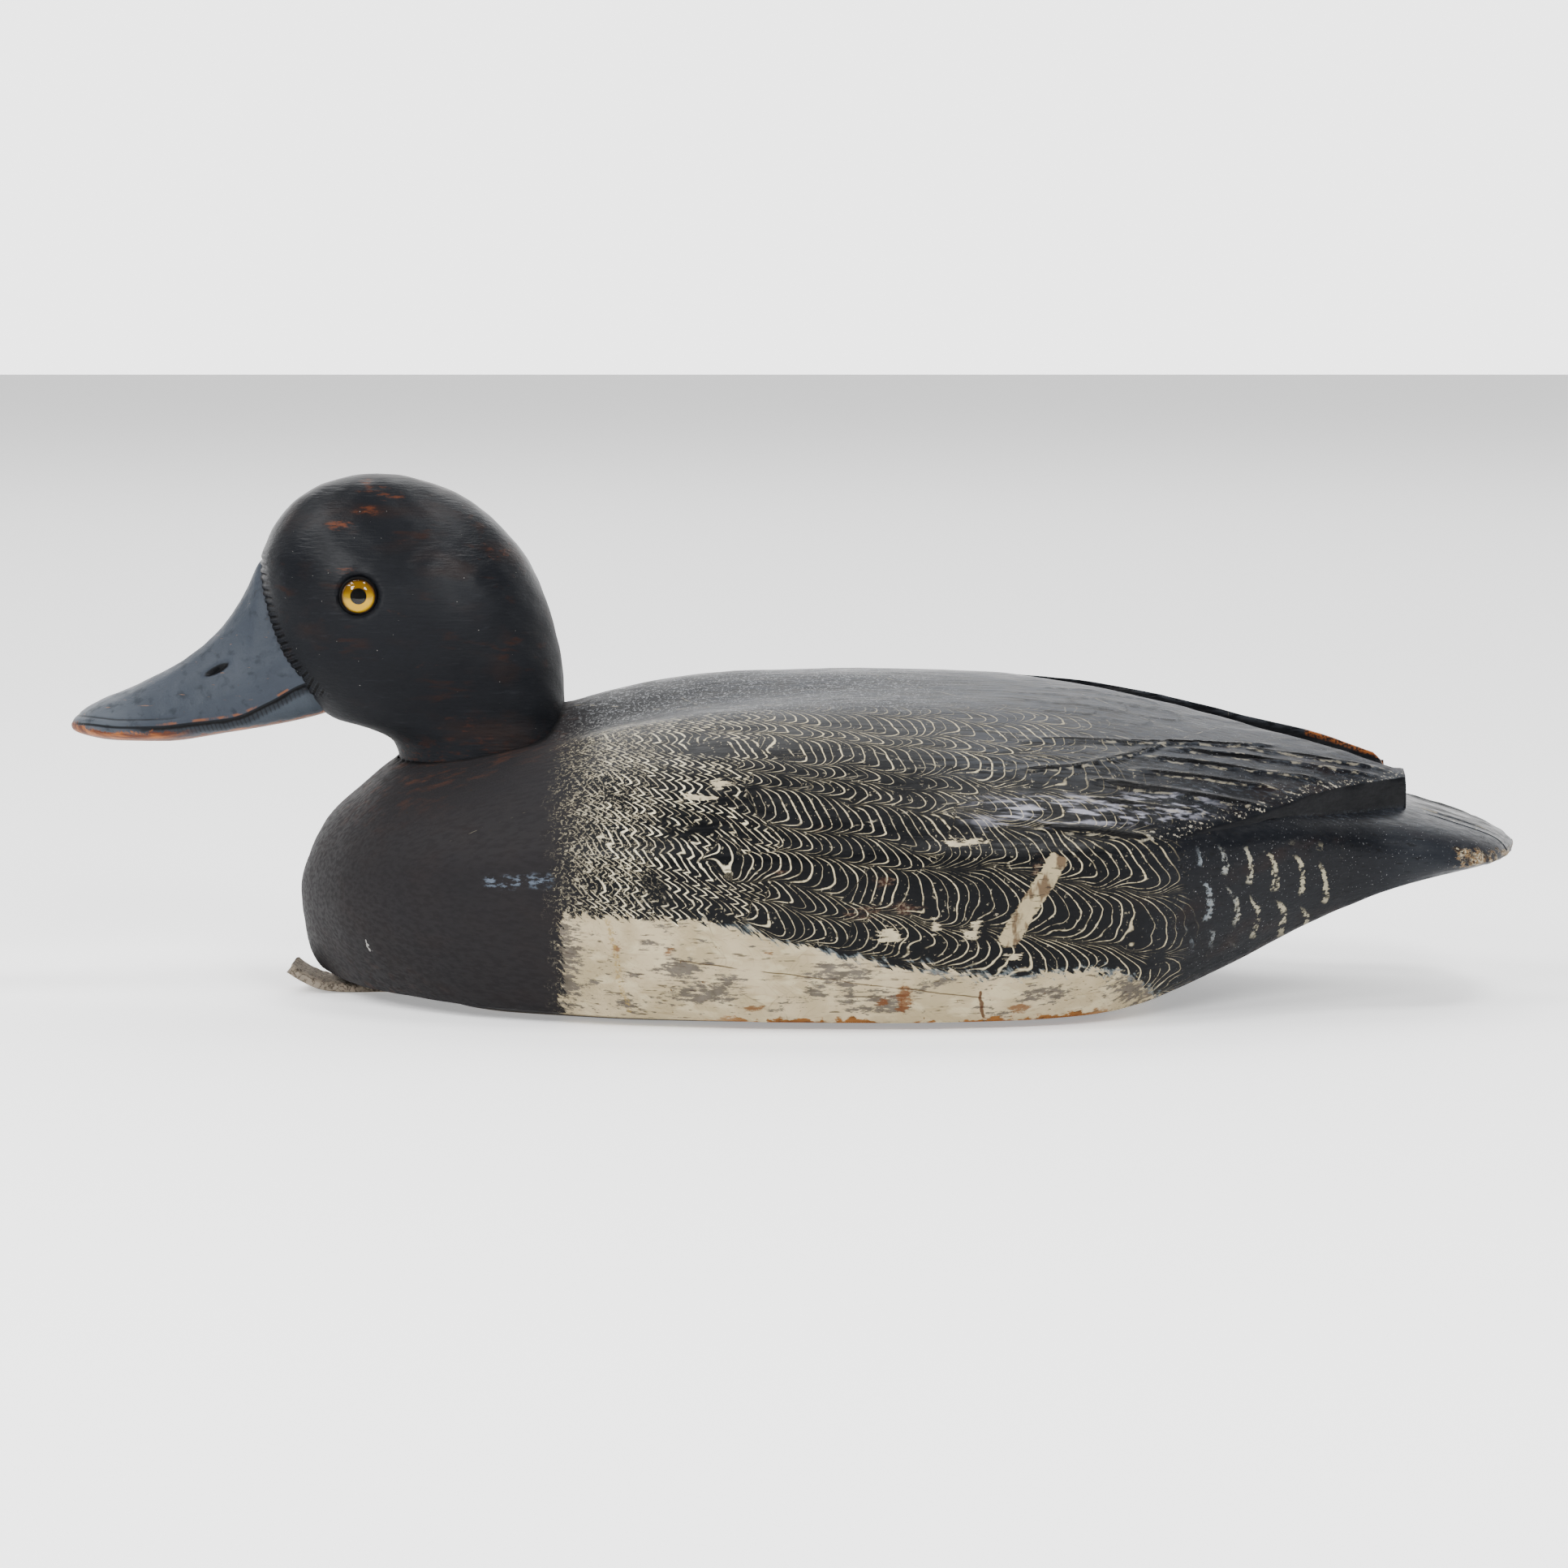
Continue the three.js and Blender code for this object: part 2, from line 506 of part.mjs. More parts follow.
// A strip of old leather under the breast, curled up at its free end
function lineTie() {
  const spine = new THREE.CatmullRomCurve3(TIE_SPINE.map(([x, z]) => new THREE.Vector3(x, 0, z)));
  const corners = [[-1, -1], [1, -1], [1, 1], [-1, 1]];
  const rings = Array.from({ length: TIE_STEPS + 1 }, (_, i) => {
    const place = spine.getPoint(i / TIE_STEPS);
    const ahead = spine.getTangent(i / TIE_STEPS);
    const up = new THREE.Vector3(ahead.z, 0, -ahead.x).multiplyScalar(TIE.thickness / 2);
    const across = new THREE.Vector3(0, TIE.width / 2, 0);
    return corners.map(([side, high]) => place.clone().addScaledVector(across, side).addScaledVector(up, high));
  });
  return skin(rings);
}

const paint = (color, roughness) => new THREE.MeshStandardMaterial({ color, roughness, metalness: 0 });

const decoy = new THREE.Group();
decoy.name = 'bluebill_decoy';
const mandibles = billHull(upperMandible).add(billHull(lowerMandible));
const headCuts = [-1, 1].flatMap((side) => [eyeSocket(side), nostril(side)]);
const headSolid = headCuts.reduce((solid, cut) => solid.subtract(cut), headHull().add(mandibles));
decoy.add(meshOf('body', carvedBody(), paint(BLACK_PAINT, 0.55)));
decoy.add(meshOf('head', headSolid, paint(HEAD_PAINT, 0.5)));
decoy.add(meshOf('eye_left', glassEye(-1), paint(GLASS_YELLOW, 0.05)));
decoy.add(meshOf('eye_right', glassEye(1), paint(GLASS_YELLOW, 0.05)));
decoy.add(meshOf('line_tie', lineTie(), paint(OLD_LEATHER, 0.85)));

export default decoy;
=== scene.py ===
"""A drake bluebill working decoy in carved and painted wood: its fine surfaces, paint and old wear."""

import math
from functools import partialmethod

import bmesh
import bpy
import numpy as np
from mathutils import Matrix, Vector


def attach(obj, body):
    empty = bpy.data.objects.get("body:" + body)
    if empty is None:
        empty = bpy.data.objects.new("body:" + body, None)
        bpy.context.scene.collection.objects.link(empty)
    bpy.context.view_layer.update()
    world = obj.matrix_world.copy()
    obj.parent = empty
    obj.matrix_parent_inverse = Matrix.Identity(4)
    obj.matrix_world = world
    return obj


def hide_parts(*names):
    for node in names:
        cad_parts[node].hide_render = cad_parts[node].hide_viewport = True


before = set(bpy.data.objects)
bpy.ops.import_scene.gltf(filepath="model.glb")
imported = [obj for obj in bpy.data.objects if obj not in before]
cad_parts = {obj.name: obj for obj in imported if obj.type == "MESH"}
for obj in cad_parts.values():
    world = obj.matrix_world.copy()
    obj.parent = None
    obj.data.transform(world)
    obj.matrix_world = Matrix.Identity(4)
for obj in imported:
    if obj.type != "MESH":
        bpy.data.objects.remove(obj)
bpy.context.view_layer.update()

MM = 0.001  # one millimetre in the scene's metres
WELD = 0.01  # millimetres between points that are one point
SHEEN = 0.5  # specular level of the old paint
PAINT_IOR = 1.2

# Main places of the carving, in millimetres, and shares of its widths
BREAST_X = -126
TAIL_X = 185
BILL_TIP_X = -185
BILL_ROOT_X = -112
WING_START_X = 57
WING_STEP_X = 84
WING_TIP_X = 155
TIP_DROP = 0.3
NECK_SEAT_Z = 56
HEAD_TOP_Z = 133.2
SHOULDER_SHARE = 0.95
WING_ROOT_SHARE = 0.9955
CLEFT_LIMIT = 0.8
CLEFT_WALL_LEAN = 0.93

# Body outline, each a list of [x, value]
BACK = [
    (-126, 27), (-125, 32.5), (-119, 45), (-111, 52.5), (-101, 60.4), (-80, 68.4), (-59, 74), (-38, 79.4),
    (-13, 82.4), (15, 83.2), (47, 82.2), (70, 80.1), (94, 75.6), (120, 69), (137, 64.6), (155, 58.6), (185, 50),
]
RUMP = BACK[:11] + [
    (57, 81.3), (72, 77.6), (89, 71.8), (107, 63.5), (122, 57.2), (132, 54), (143, 52.2), (155, 50.4),
    (160, 49.1), (172, 45.4), (181, 42.2), (185, 38.5),
]
WAIST = [
    (-126, 27), (-100, 34), (-80, 38), (-40, 41), (50, 42.5), (84, 42.7), (107, 44), (122, 44.6), (132, 43.3),
    (147, 40.3), (163, 38.3), (171, 37.4), (185, 38.5),
]
BEAM = [
    (-126, 0), (-120, 25), (-110, 40), (-100, 48.5), (-80, 59.5), (-60, 66.5), (-35, 72), (-5, 75), (25, 75),
    (55, 72.8), (75, 69.5), (84, 67.2), (90, 65.6), (100, 61.8), (107, 58.8), (120, 51.8), (132, 45.2),
    (147, 38.2), (163, 35.4), (172, 32.2), (185, 0),
]
EDGE_Y = [
    (-126, 0), (-120, 6), (-113, 17), (-107, 24.5), (-98, 34), (-82, 46), (-62, 54.5), (-34, 62.5), (-4, 66),
    (25, 66.5), (53, 63.5), (75, 57), (86, 51.5), (107, 43), (133, 35), (157, 31.5), (170, 28.5), (185, 0),
]
EDGE_Z = [
    (-126, 27), (-125.3, 17.5), (-123.4, 10.6), (-120, 6.4), (-113, 4.7), (-90, 3.7), (-34, 2.6), (0, 2.1),
    (30, 2), (60, 2.2), (75, 2.8), (86, 4.3), (95, 7.2), (101.5, 9.7), (113.7, 15), (126.3, 21.1), (139, 26.4),
    (151.7, 30.8), (164.4, 33.8), (172, 35.2), (185, 38.5),
]
FLAT_Y = [
    (-126, 0), (-113, 7), (-100, 18), (-80, 33), (-60, 42), (-34, 50), (0, 53), (30, 53), (53, 50), (75, 42),
    (90, 34), (120, 24), (157, 20), (170, 17), (185, 0),
]
KEEL = [
    (-126, 27), (-125.3, 16.8), (-123.4, 10), (-120, 5.9), (-113, 4.3), (-98, 3.3), (-88, 1.6), (-78, 0.3),
    (-70, 0), (72, 0), (80, 0.7), (88, 2.8), (95, 5.4), (101.5, 7.8), (113.7, 12.9), (126.3, 19.2), (139, 24.9),
    (151.7, 29.6), (164.4, 32.8), (172, 34.3), (185, 38.5),
]
BACK_ROUNDNESS = [
    (-126, 2), (-101, 1.8), (-80, 1.65), (60, 1.65), (107, 1.62), (120, 1.65), (132, 1.85), (155, 1.8),
]
RUMP_ROUNDNESS = [(60, 1.65), (107, 1.8), (122, 2.05), (132, 2.3), (143, 2.4), (155, 2.6), (185, 2.6)]
CLEFT_Y = [(57, 0), (81, 9), (101, 11.5), (117, 14.5), (131, 18), (143, 18.8), (155, 17.8)]
WING_EDGE_Y = [
    (84, 66.9), (90, 65), (100, 60), (110, 54.5), (120, 47.5), (130, 40), (140, 32), (150, 24.5), (155, 20.7),
]
HOLLOW_Y = 20
HOLLOW_WIDTH = 10
HOLLOW_DEPTH = [
    (-106, 0), (-99, 0.4), (-89, 1.4), (-78, 2.8), (-71, 3.5), (-58, 4.4), (-45, 4.3), (-26, 3.4), (5, 1.7),
    (33, 0.7), (57, 0),
]


def curve_through(points, warp=None):
    """A smooth curve through points that never swings past them, as a function of arrays."""
    places = np.array([p[0] for p in points], float)
    xs = warp(places) if warp else places
    ys = np.array([p[1] for p in points], float)
    gaps = np.diff(xs)
    rises = np.diff(ys) / gaps
    slopes = np.concatenate([rises[:1], np.zeros(len(ys) - 2), rises[-1:]])
    for i in range(1, len(ys) - 1):
        if rises[i - 1] * rises[i] > 0:
            before = 2 * gaps[i] + gaps[i - 1]
            after = gaps[i] + 2 * gaps[i - 1]
            slopes[i] = (before + after) / (before / rises[i - 1] + after / rises[i])

    def at(value):
        value = np.asarray(value, float)
        x = np.clip(warp(value) if warp else value, xs[0], xs[-1])
        i = np.searchsorted(xs[1:-1], x, side="left")
        t = (x - xs[i]) / gaps[i]
        start = (1 + 2 * t) * (1 - t) ** 2 * ys[i] + t * (1 - t) ** 2 * gaps[i] * slopes[i]
        end = t**2 * (3 - 2 * t) * ys[i + 1] + t**2 * (t - 1) * gaps[i] * slopes[i + 1]
        return start + end

    return at


def round_ends(low, high):
    """Turns a place between two ends into an angle, so that a blunt, round end stays round."""
    return lambda x: np.arccos(np.clip(1 - 2 * (np.clip(x, low, high) - low) / (high - low), -1, 1))


def curves(warp, *lists):
    """One smooth curve for each list of points."""
    return [curve_through(points, warp) for points in lists]


along_body = round_ends(BREAST_X, TAIL_X)
back, rump, waist, beam = curves(along_body, BACK, RUMP, WAIST, BEAM)
edge_y, edge_z, flat_y, keel = curves(along_body, EDGE_Y, EDGE_Z, FLAT_Y, KEEL)
back_roundness, rump_roundness = curves(None, BACK_ROUNDNESS, RUMP_ROUNDNESS)
cleft, wing_edge, hollow = curves(None, CLEFT_Y, WING_EDGE_Y, HOLLOW_DEPTH)


def bulge(share, roundness):
    """The height of a rounded arch of height 1 at a share of its half width."""
    return np.maximum(0, 1 - np.minimum(1, np.abs(share)) ** roundness) ** (1 / roundness)


def back_height(x, y):
    """Height of the back and the wings over a place in plan."""
    wide = np.maximum(beam(x), 1e-6)
    roundness = back_roundness(x)
    inner = np.where(x > WING_START_X, np.minimum(cleft(x), wide * CLEFT_LIMIT), 0)
    rise = (back(x) - waist(x)) / bulge(inner / wide, roundness)
    dip = hollow(x) * np.exp(-(((np.abs(y) - HOLLOW_Y) / HOLLOW_WIDTH) ** 2))
    return waist(x) + rise * bulge(y / wide, roundness) - dip


def rump_height(x, y):
    """Height of the rump and the tail, which the wings stand over."""
    wide = np.maximum(beam(x), 1e-6)
    return waist(x) + (rump(x) - waist(x)) * bulge(y / wide, rump_roundness(x))


# Girth: how far round the body a place lies, from the widest line up over the back
GIRTH_X = np.linspace(BREAST_X, TAIL_X, 312)
GIRTH_SHARES = np.sin(np.linspace(math.pi / 2, 0, 81))


def girth_table():
    """Girths up the section at each of GIRTH_X, a row to a place."""
    rows = []
    for x in GIRTH_X:
        y = beam(x) * GIRTH_SHARES
        z = back_height(np.full_like(y, x), y)
        rows.append(np.concatenate([[0], np.cumsum(np.hypot(np.diff(y), np.diff(z)))]))
    return np.array(rows)


GIRTH = girth_table()


def girth_at(x, y, z):
    """Millimetres round the side from the widest line: positive above it and negative below."""
    x, y, z = np.broadcast_arrays(*(np.asarray(v, float) for v in (x, y, z)))
    place = np.clip((x - BREAST_X) / (TAIL_X - BREAST_X) * (len(GIRTH_X) - 1), 0, len(GIRTH_X) - 1.001)
    i = place.astype(int)
    f = place - i
    share = np.clip(np.abs(y) / np.maximum(beam(x), 1e-6), 0, 1)
    j = (math.pi / 2 - np.arcsin(share)) / (math.pi / 2) * (len(GIRTH_SHARES) - 1)
    j = np.clip(j, 0, len(GIRTH_SHARES) - 1.001)
    k = j.astype(int)
    h = j - k
    row = (
        GIRTH[i, k] * (1 - f) * (1 - h) + GIRTH[i + 1, k] * f * (1 - h)
        + GIRTH[i, k + 1] * (1 - f) * h + GIRTH[i + 1, k + 1] * f * h
    )
    return np.where(z < waist(x), z - waist(x), row)


# ---------------------------------------------------------------- mesh helpers


def stations(*stretches):
    """Places along a line from stretches of (start, end, step), each without its end, and the last end."""
    runs = [np.linspace(a, b, max(1, round((b - a) / step)), endpoint=False) for a, b, step in stretches]
    return np.concatenate([*runs, [stretches[-1][1]]])


def round_stations(tip, root, count):
    """Places from a round tip inwards, close together at the tip."""
    return tip + (root - tip) * (1 - np.cos(np.linspace(0, math.pi / 2, count)))


def waves(points, seed, size, count=14):
    """A soft random field of about -1 to 1 made of waves of about the given size."""
    dice = np.random.default_rng(seed)
    total = np.zeros(points.shape[:-1])
    for _ in range(count):
        heading = dice.normal(size=3)
        heading /= np.linalg.norm(heading)
        length = size * dice.uniform(0.7, 1.6)
        total += np.sin(points @ heading * (2 * math.pi / length) + dice.uniform(0, 2 * math.pi))
    return total / math.sqrt(count)


def unevenness(grid, *rounds):
    """The small hollows of hand carving, from (depth, seed, size) rounds."""
    return sum(depth * (1 - waves(grid, seed, size)) for depth, seed, size in rounds)


def distance_to_lines(u, v, lines):
    """The smallest distance from each place (u, v) to the drawn lines, each a list of points."""
    best = np.full(u.shape, 1e3)
    for line in lines:
        path = np.array(line, float)
        for a, b in zip(path[:-1], path[1:]):
            ab = b - a
            t = np.clip(((u - a[0]) * ab[0] + (v - a[1]) * ab[1]) / max(ab @ ab, 1e-9), 0, 1)
            best = np.minimum(best, np.hypot(u - a[0] - t * ab[0], v - a[1] - t * ab[1]))
    return best


def straight_through(points, x):
    """The value at x of the straight lines that join points."""
    return np.interp(x, *np.array(points, float).T)


def smooth_path(points, count=24):
    """A Catmull-Rom curve through the points."""
    p = np.array(points, float)
    p = np.vstack([2 * p[0] - p[1], p, 2 * p[-1] - p[-2]])
    made = []
    for i in range(1, len(p) - 2):
        for t in np.linspace(0, 1, max(2, count // (len(p) - 3)), endpoint=False):
            made.append(
                0.5 * (2 * p[i] + (p[i + 1] - p[i - 1]) * t
                       + (2 * p[i - 1] - 5 * p[i] + 4 * p[i + 1] - p[i + 2]) * t**2
                       + (3 * p[i] - p[i - 1] - 3 * p[i + 1] + p[i + 2]) * t**3)
            )
    return np.array(made + [p[-2]])


def ramp(value, low, high):
    """0 below low, 1 above high, and a smooth rise between."""
    t = np.clip((value - low) / (high - low), 0, 1)
    return t * t * (3 - 2 * t)


def grid_normals(grid, closed=True):
    """Unit normals of a grid of points: rows run along the body and columns round it."""
    along = np.gradient(grid, axis=0)
    if closed:
        around = np.roll(grid, -1, axis=1) - np.roll(grid, 1, axis=1)
    else:
        around = np.gradient(grid, axis=1)
    n = np.cross(around, along)
    length = np.linalg.norm(n, axis=-1, keepdims=True)
    return n / np.maximum(length, 1e-9)


def outwards(normals, grid, middle_x, middle_z):
    """The same normals, each turned away from the middle of its slice."""
    x, y = grid[..., 0], grid[..., 1]
    centre = np.stack([middle_x + 0 * x, np.zeros_like(y), middle_z + 0 * x], -1)
    return normals * np.sign(np.sum(normals * (grid - centre), -1, keepdims=True) + 1e-9)


def make_piece(name, grid, fields, material, first=False, last=False, sharp=38):
    """A mesh object from closed rings of points in millimetres, capped at its first or last ring.

    Its fields are kept as attributes for the paint.
    """
    rows, cols = grid.shape[:2]
    r, c = np.arange(rows - 1)[:, None], np.arange(cols)[None, :]
    n = (c + 1) % cols
    quads = np.stack([r * cols + c, r * cols + n, (r + 1) * cols + n, (r + 1) * cols + c], -1)
    faces = quads.reshape(-1, 4).tolist()
    if first:
        faces.append(list(range(cols))[::-1])
    if last:
        faces.append(list(range((rows - 1) * cols, rows * cols)))
    mesh = bpy.data.meshes.new(name)
    mesh.from_pydata((grid.reshape(-1, 3) * MM).tolist(), [], faces)
    for key, values in fields.items():
        attribute = mesh.attributes.new(key, "FLOAT", "POINT")
        attribute.data.foreach_set("value", np.ascontiguousarray(values, dtype=np.float32).ravel())
    mesh.materials.append(material)
    made = bpy.data.objects.new(name, mesh)
    bpy.context.collection.objects.link(made)
    clean = bmesh.new()
    clean.from_mesh(mesh)
    bmesh.ops.remove_doubles(clean, verts=clean.verts, dist=WELD * MM)
    bmesh.ops.dissolve_degenerate(clean, edges=clean.edges, dist=WELD * MM)
    bmesh.ops.recalc_face_normals(clean, faces=clean.faces)
    clean.to_mesh(mesh)
    clean.free()
    mesh.shade_smooth()
    mesh.set_sharp_from_angle(angle=math.radians(sharp))
    return made


# ---------------------------------------------------------------- body

# Carved lines: (width, depth, places in plan) on the wings and on the tail
WING_LINES = [
    (1.2, 1.0, [(59, 45), (80, 41), (94, 36.5), (107, 31.5), (122, 25)]),
    (1.0, 0.9, [(53, 57.3), (61, 55), (71, 52.4), (81, 47), (88, 42), (95.6, 35.4)]),
    (1.0, 0.9, [(112, 30), (134, 26.3), (149, 20.8)]),
    (1.0, 1.0, [(92, 40), (116, 33.5), (133, 30.6), (147, 24.6)]),
    (1.0, 1.0, [(85, 45.4), (110, 40.3), (134, 34.8)]),
    (1.0, 1.0, [(82, 51), (101, 47.3), (121, 42.4)]),
    (1.8, 1.4, [(71, 56.8), (93, 54.2), (109, 51.1), (118.5, 48.4)]),
    (0.9, 0.8, [(69, 61.8), (92.4, 58.4), (102, 56.4)]),
    (2.0, 1.5, [(58, 69.2), (75, 67), (84, 65.5), (90, 64.3)]),
]
TAIL_LINES = [
    (1.0, 0.8, [(158, 7.6), (170, 7.2), (182, 6.2)]),
    (1.0, 0.8, [(158, 16.5), (169, 16.6), (180, 15.6)]),
    (1.0, 0.8, [(158, 24.4), (167, 24.6), (177, 23.6)]),
]
# The far wing's worn tip: the span from the middle that it takes up, and its height along the body
WORN_SPAN = (8, 34)
WORN_TIP = [(144, 72), (146.5, 62.3), (151.6, 59.9), (153.7, 57.9), (155.6, 54)]
# Columns of the grid in each stretch of a section, from the keel to the cleft, and the later stretches' labels
COLUMNS = {"flat": 4, "bevel": 4, "side": 22, "rump": 5, "step": 6, "wing": 112, "wall": 8, "cleft": 12}
RUMP_EDGE, STEP, WING, WALL, CLEFT = range(4, 9)
SHOULDER_BLEND = 17


def body_section(x, winged):
    """One side of the body's outline at x, from the keel's centre up to the back's centre."""
    wide, level, low_z = float(beam(x)), float(waist(x)), float(keel(x))
    edge, edge_up, flat = float(edge_y(x)), float(edge_z(x)), float(flat_y(x))
    turned = float(ramp(x, WING_START_X - SHOULDER_BLEND, WING_STEP_X))
    root = SHOULDER_SHARE + (WING_ROOT_SHARE - SHOULDER_SHARE) * turned
    step_y = min(float(wing_edge(x)) if x > WING_STEP_X else wide, wide * root)
    cleft_y = min(float(cleft(x)) if x > WING_START_X else 0, step_y * CLEFT_LIMIT)
    floor_y = cleft_y * CLEFT_WALL_LEAN

    def top(y):
        lower = rump_height(x, y)
        return lower + (back_height(x, y) - lower) * winged

    low = (lambda y: rump_height(x, y)) if x > WING_START_X else (lambda y: back_height(x, y))
    foot = low if x > WING_STEP_X else top

    def shares(count):
        return np.arange(1, count + 1) / count

    def across(a, b, count):
        angle = np.arccos(a / wide) + (np.arccos(b / wide) - np.arccos(a / wide)) * shares(count)
        return wide * np.cos(angle)

    t = shares(COLUMNS["side"])
    rump_y = across(wide, step_y, COLUMNS["rump"])
    wing_y = across(step_y, cleft_y, COLUMNS["wing"])
    foot_z, edge_top = foot(rump_y)[-1], top(np.array([step_y]))[0]
    wall_top, wall_foot = top(np.array([cleft_y]))[0], low(np.array([cleft_y]))[0]
    s, w = shares(COLUMNS["step"]), shares(COLUMNS["wall"])
    f, b, c = shares(COLUMNS["flat"]), shares(COLUMNS["bevel"]), shares(COLUMNS["cleft"])
    ys = [
        [0], flat * f, flat + (edge - flat) * b, wide - (wide - edge) * (1 - t) ** 2, rump_y,
        np.full(len(s), step_y), wing_y, cleft_y + (floor_y - cleft_y) * w, floor_y * (1 - c),
    ]
    zs = [
        [low_z], np.full(len(f), low_z), low_z + (edge_up - low_z) * b, edge_up + (level - edge_up) * t,
        foot(rump_y), foot_z + (edge_top - foot_z) * s, top(wing_y),
        wall_top + (wall_foot - wall_top) * w, low(cleft_y * (1 - c)),
    ]
    return np.concatenate(ys), np.concatenate(zs)


def body_grid():
    """One half of the body as a grid of points, closer together at its ends, the wings and their tips."""
    places = np.concatenate([
        round_stations(BREAST_X, -114, 14)[:-1],
        stations((-114, -50, 1.5), (-50, 57, 2.5), (57, 84, 1.1), (84, WING_TIP_X, 0.62))[:-1],
        np.linspace(WING_TIP_X, WING_TIP_X + TIP_DROP, 5),
        stations((WING_TIP_X + 1.2, 178, 1.0))[:-1],
        round_stations(TAIL_X, 178, 12)[::-1],
    ])
    rows = []
    for x in places:
        share = float(np.clip((WING_TIP_X + TIP_DROP - x) / TIP_DROP, 0, 1))
        inside = min(max(float(x), BREAST_X + 0.02), TAIL_X - 0.02)
        y, z = body_section(inside, share)
        rows.append(np.stack([np.full_like(y, x), y, z], -1))
    return np.array(rows)


# Where the combed paint lies: rows of feather tips that fan out down the flank, by place and girth
ROW_FIT = (7.527, -0.0293, -0.1433, 1.57e-4, 6.66e-5, 5.87e-5)
COMB_SPACING = [(-126, 2.0), (-57, 2.0), (-40, 2.15), (-20, 2.35), (0, 2.5), (20, 2.7), (45, 3.0), (185, 3.0)]
# Upper edge of the cream flank as [place, height], and where the cream starts and ends
BAND_TOP = [
    (-58.6, 28), (-45.8, 28.9), (-34.7, 28.4), (-23.6, 28.2), (-17.9, 26.6), (-9.6, 25.4), (-4.1, 23.3),
    (4.2, 21.1), (12.5, 19.4), (24.6, 17.1), (36.4, 15.8), (47.4, 13.9), (58.1, 14.3), (69.2, 14.7),
    (80.4, 14.1), (85.1, 11.2), (91.1, 6.3),
]
BAND_FRONT_X = -56.5
BAND_REAR_X = 91
# Chips and brown spots on the left side: (place, girth, half length, half height)
CHIPS = [
    (-17.4, 23.4, 2.6, 2.2), (-22.9, 18.6, 5, 1.6), (42, 5.4, 6.5, 1.9), (53.5, -24.4, 2.8, 1.1),
    (24, -17.8, 4.2, 2.6), (44, -16.8, 2.6, 3), (34.5, -15.8, 1.6, 3.2), (-12, -31, 1.2, 1),
]
BROWN_SPOTS = [
    (22.5, -3.9, 4.2, 2.4), (28.4, -11, 5.5, 2.6), (6.8, 9.2, 2.2, 1.5), (-3.1, -1.6, 2.6, 1.4),
    (17, -12, 6, 2.2), (60, -2, 2, 4),
]
# The long bare patch: its two ends by place and height, and its half width
PATCH = ((65.2, 44), (51.6, 21.6), 2.5)
# Dirt and rusty stains in the cream: (place, height, half length, half height)
SMUDGES = [
    (-26.8, 15.8, 7, 3), (-21.4, 9.2, 8, 2.6), (12, 14.7, 9, 3.2), (-15, 13, 3.5, 2), (5.6, 9.9, 2.5, 2.6),
    (32.2, 12.1, 3, 1.6), (37.6, 13.4, 2.6, 1.5), (13.7, 9, 2.5, 3.2), (-55.5, 15.3, 4, 14), (45, 15.4, 3, 1.2),
    (-40, 6, 4, 2), (62, 9, 7, 2.4), (84, 9, 7, 4), (-34, 22, 3, 1.4), (24, 8, 6, 1.8),
]
STAINS = [
    (27.3, 8.5, 2.6, 4.6), (-43.5, 20, 1.4, 5), (-6.1, 20.9, 2.2, 1), (21.9, 8, 2.6, 1.2), (55.4, 5.5, 3.4, 1.6),
    (-9, 6, 3, 1), (-30, 20, 1.6, 0.9),
]


# Depths and half widths of the fine cuts in the body, in millimetres, and shares of a carved line's depth
FEATHER_DEPTH, FEATHER_HALF = 0.22, 0.75
SEAM_DEPTH, SEAM_HALF = 0.5, 0.9
WING_CARVED, TAIL_CARVED = 0.8, 0.5
LINE_REACH = 8
CLEFT_GIRTH = 3
POCKET_MARGIN, POCKET_DROP = 1.2, 0.3
FAR = 9  # a field's value well away from what it measures


def comb_phase(x):
    """How many combed lines fit between the breast and x, and how many to the millimetre there."""
    places = np.linspace(BREAST_X, TAIL_X, 623)
    spacing = straight_through(COMB_SPACING, places)
    total = np.concatenate([[0], np.cumsum(np.diff(places) / spacing[1:])])
    return np.interp(x, places, total), 1 / np.interp(x, places, spacing)


def spots(u, v, places):
    """Close to 1, or to its own strength, inside each given ellipse and 0 well outside them."""
    best = np.zeros(u.shape)
    for cu, cv, half_u, half_v, *strength in places:
        here = np.clip(1.4 - np.hypot((u - cu) / half_u, (v - cv) / half_v), 0, 1)
        best = np.maximum(best, here * (strength[0] if strength else 1))
    return best


def feather_tips():
    """Outlines of the small overlapping feathers carved on the top of each wing, by plan place."""
    outlines = []
    for row, y in enumerate((9.5, 15.5, 21.5, 27.5)):
        for k in range(6):
            tip_x = 74 + 13.5 * k + 6.7 * (row % 2) - 1.3 * row
            lean = -0.05 - 0.1 * ramp(tip_x, 70, 130)
            if y < float(cleft(tip_x)) + 4 or tip_x > 136 - 1.4 * y:
                continue
            outline = []
            for a in np.linspace(-math.pi / 2, math.pi / 2, 9):
                outline.append((tip_x - 4 + 4 * math.cos(a), y + 2.9 * math.sin(a) + lean * 4))
            start = [(tip_x - 15, y - 2.4 - lean * 12)]
            end = [(tip_x - 13, y + 2.6 - lean * 12)]
            outlines.append(start + outline + end)
    return outlines


def on_wing(path):
    """Turns a line drawn in plan into places along the body and round it."""
    path = np.array(path, float)
    return np.stack([path[:, 0], girth_at(path[:, 0], path[:, 1], back_height(path[:, 0], path[:, 1]))], -1)


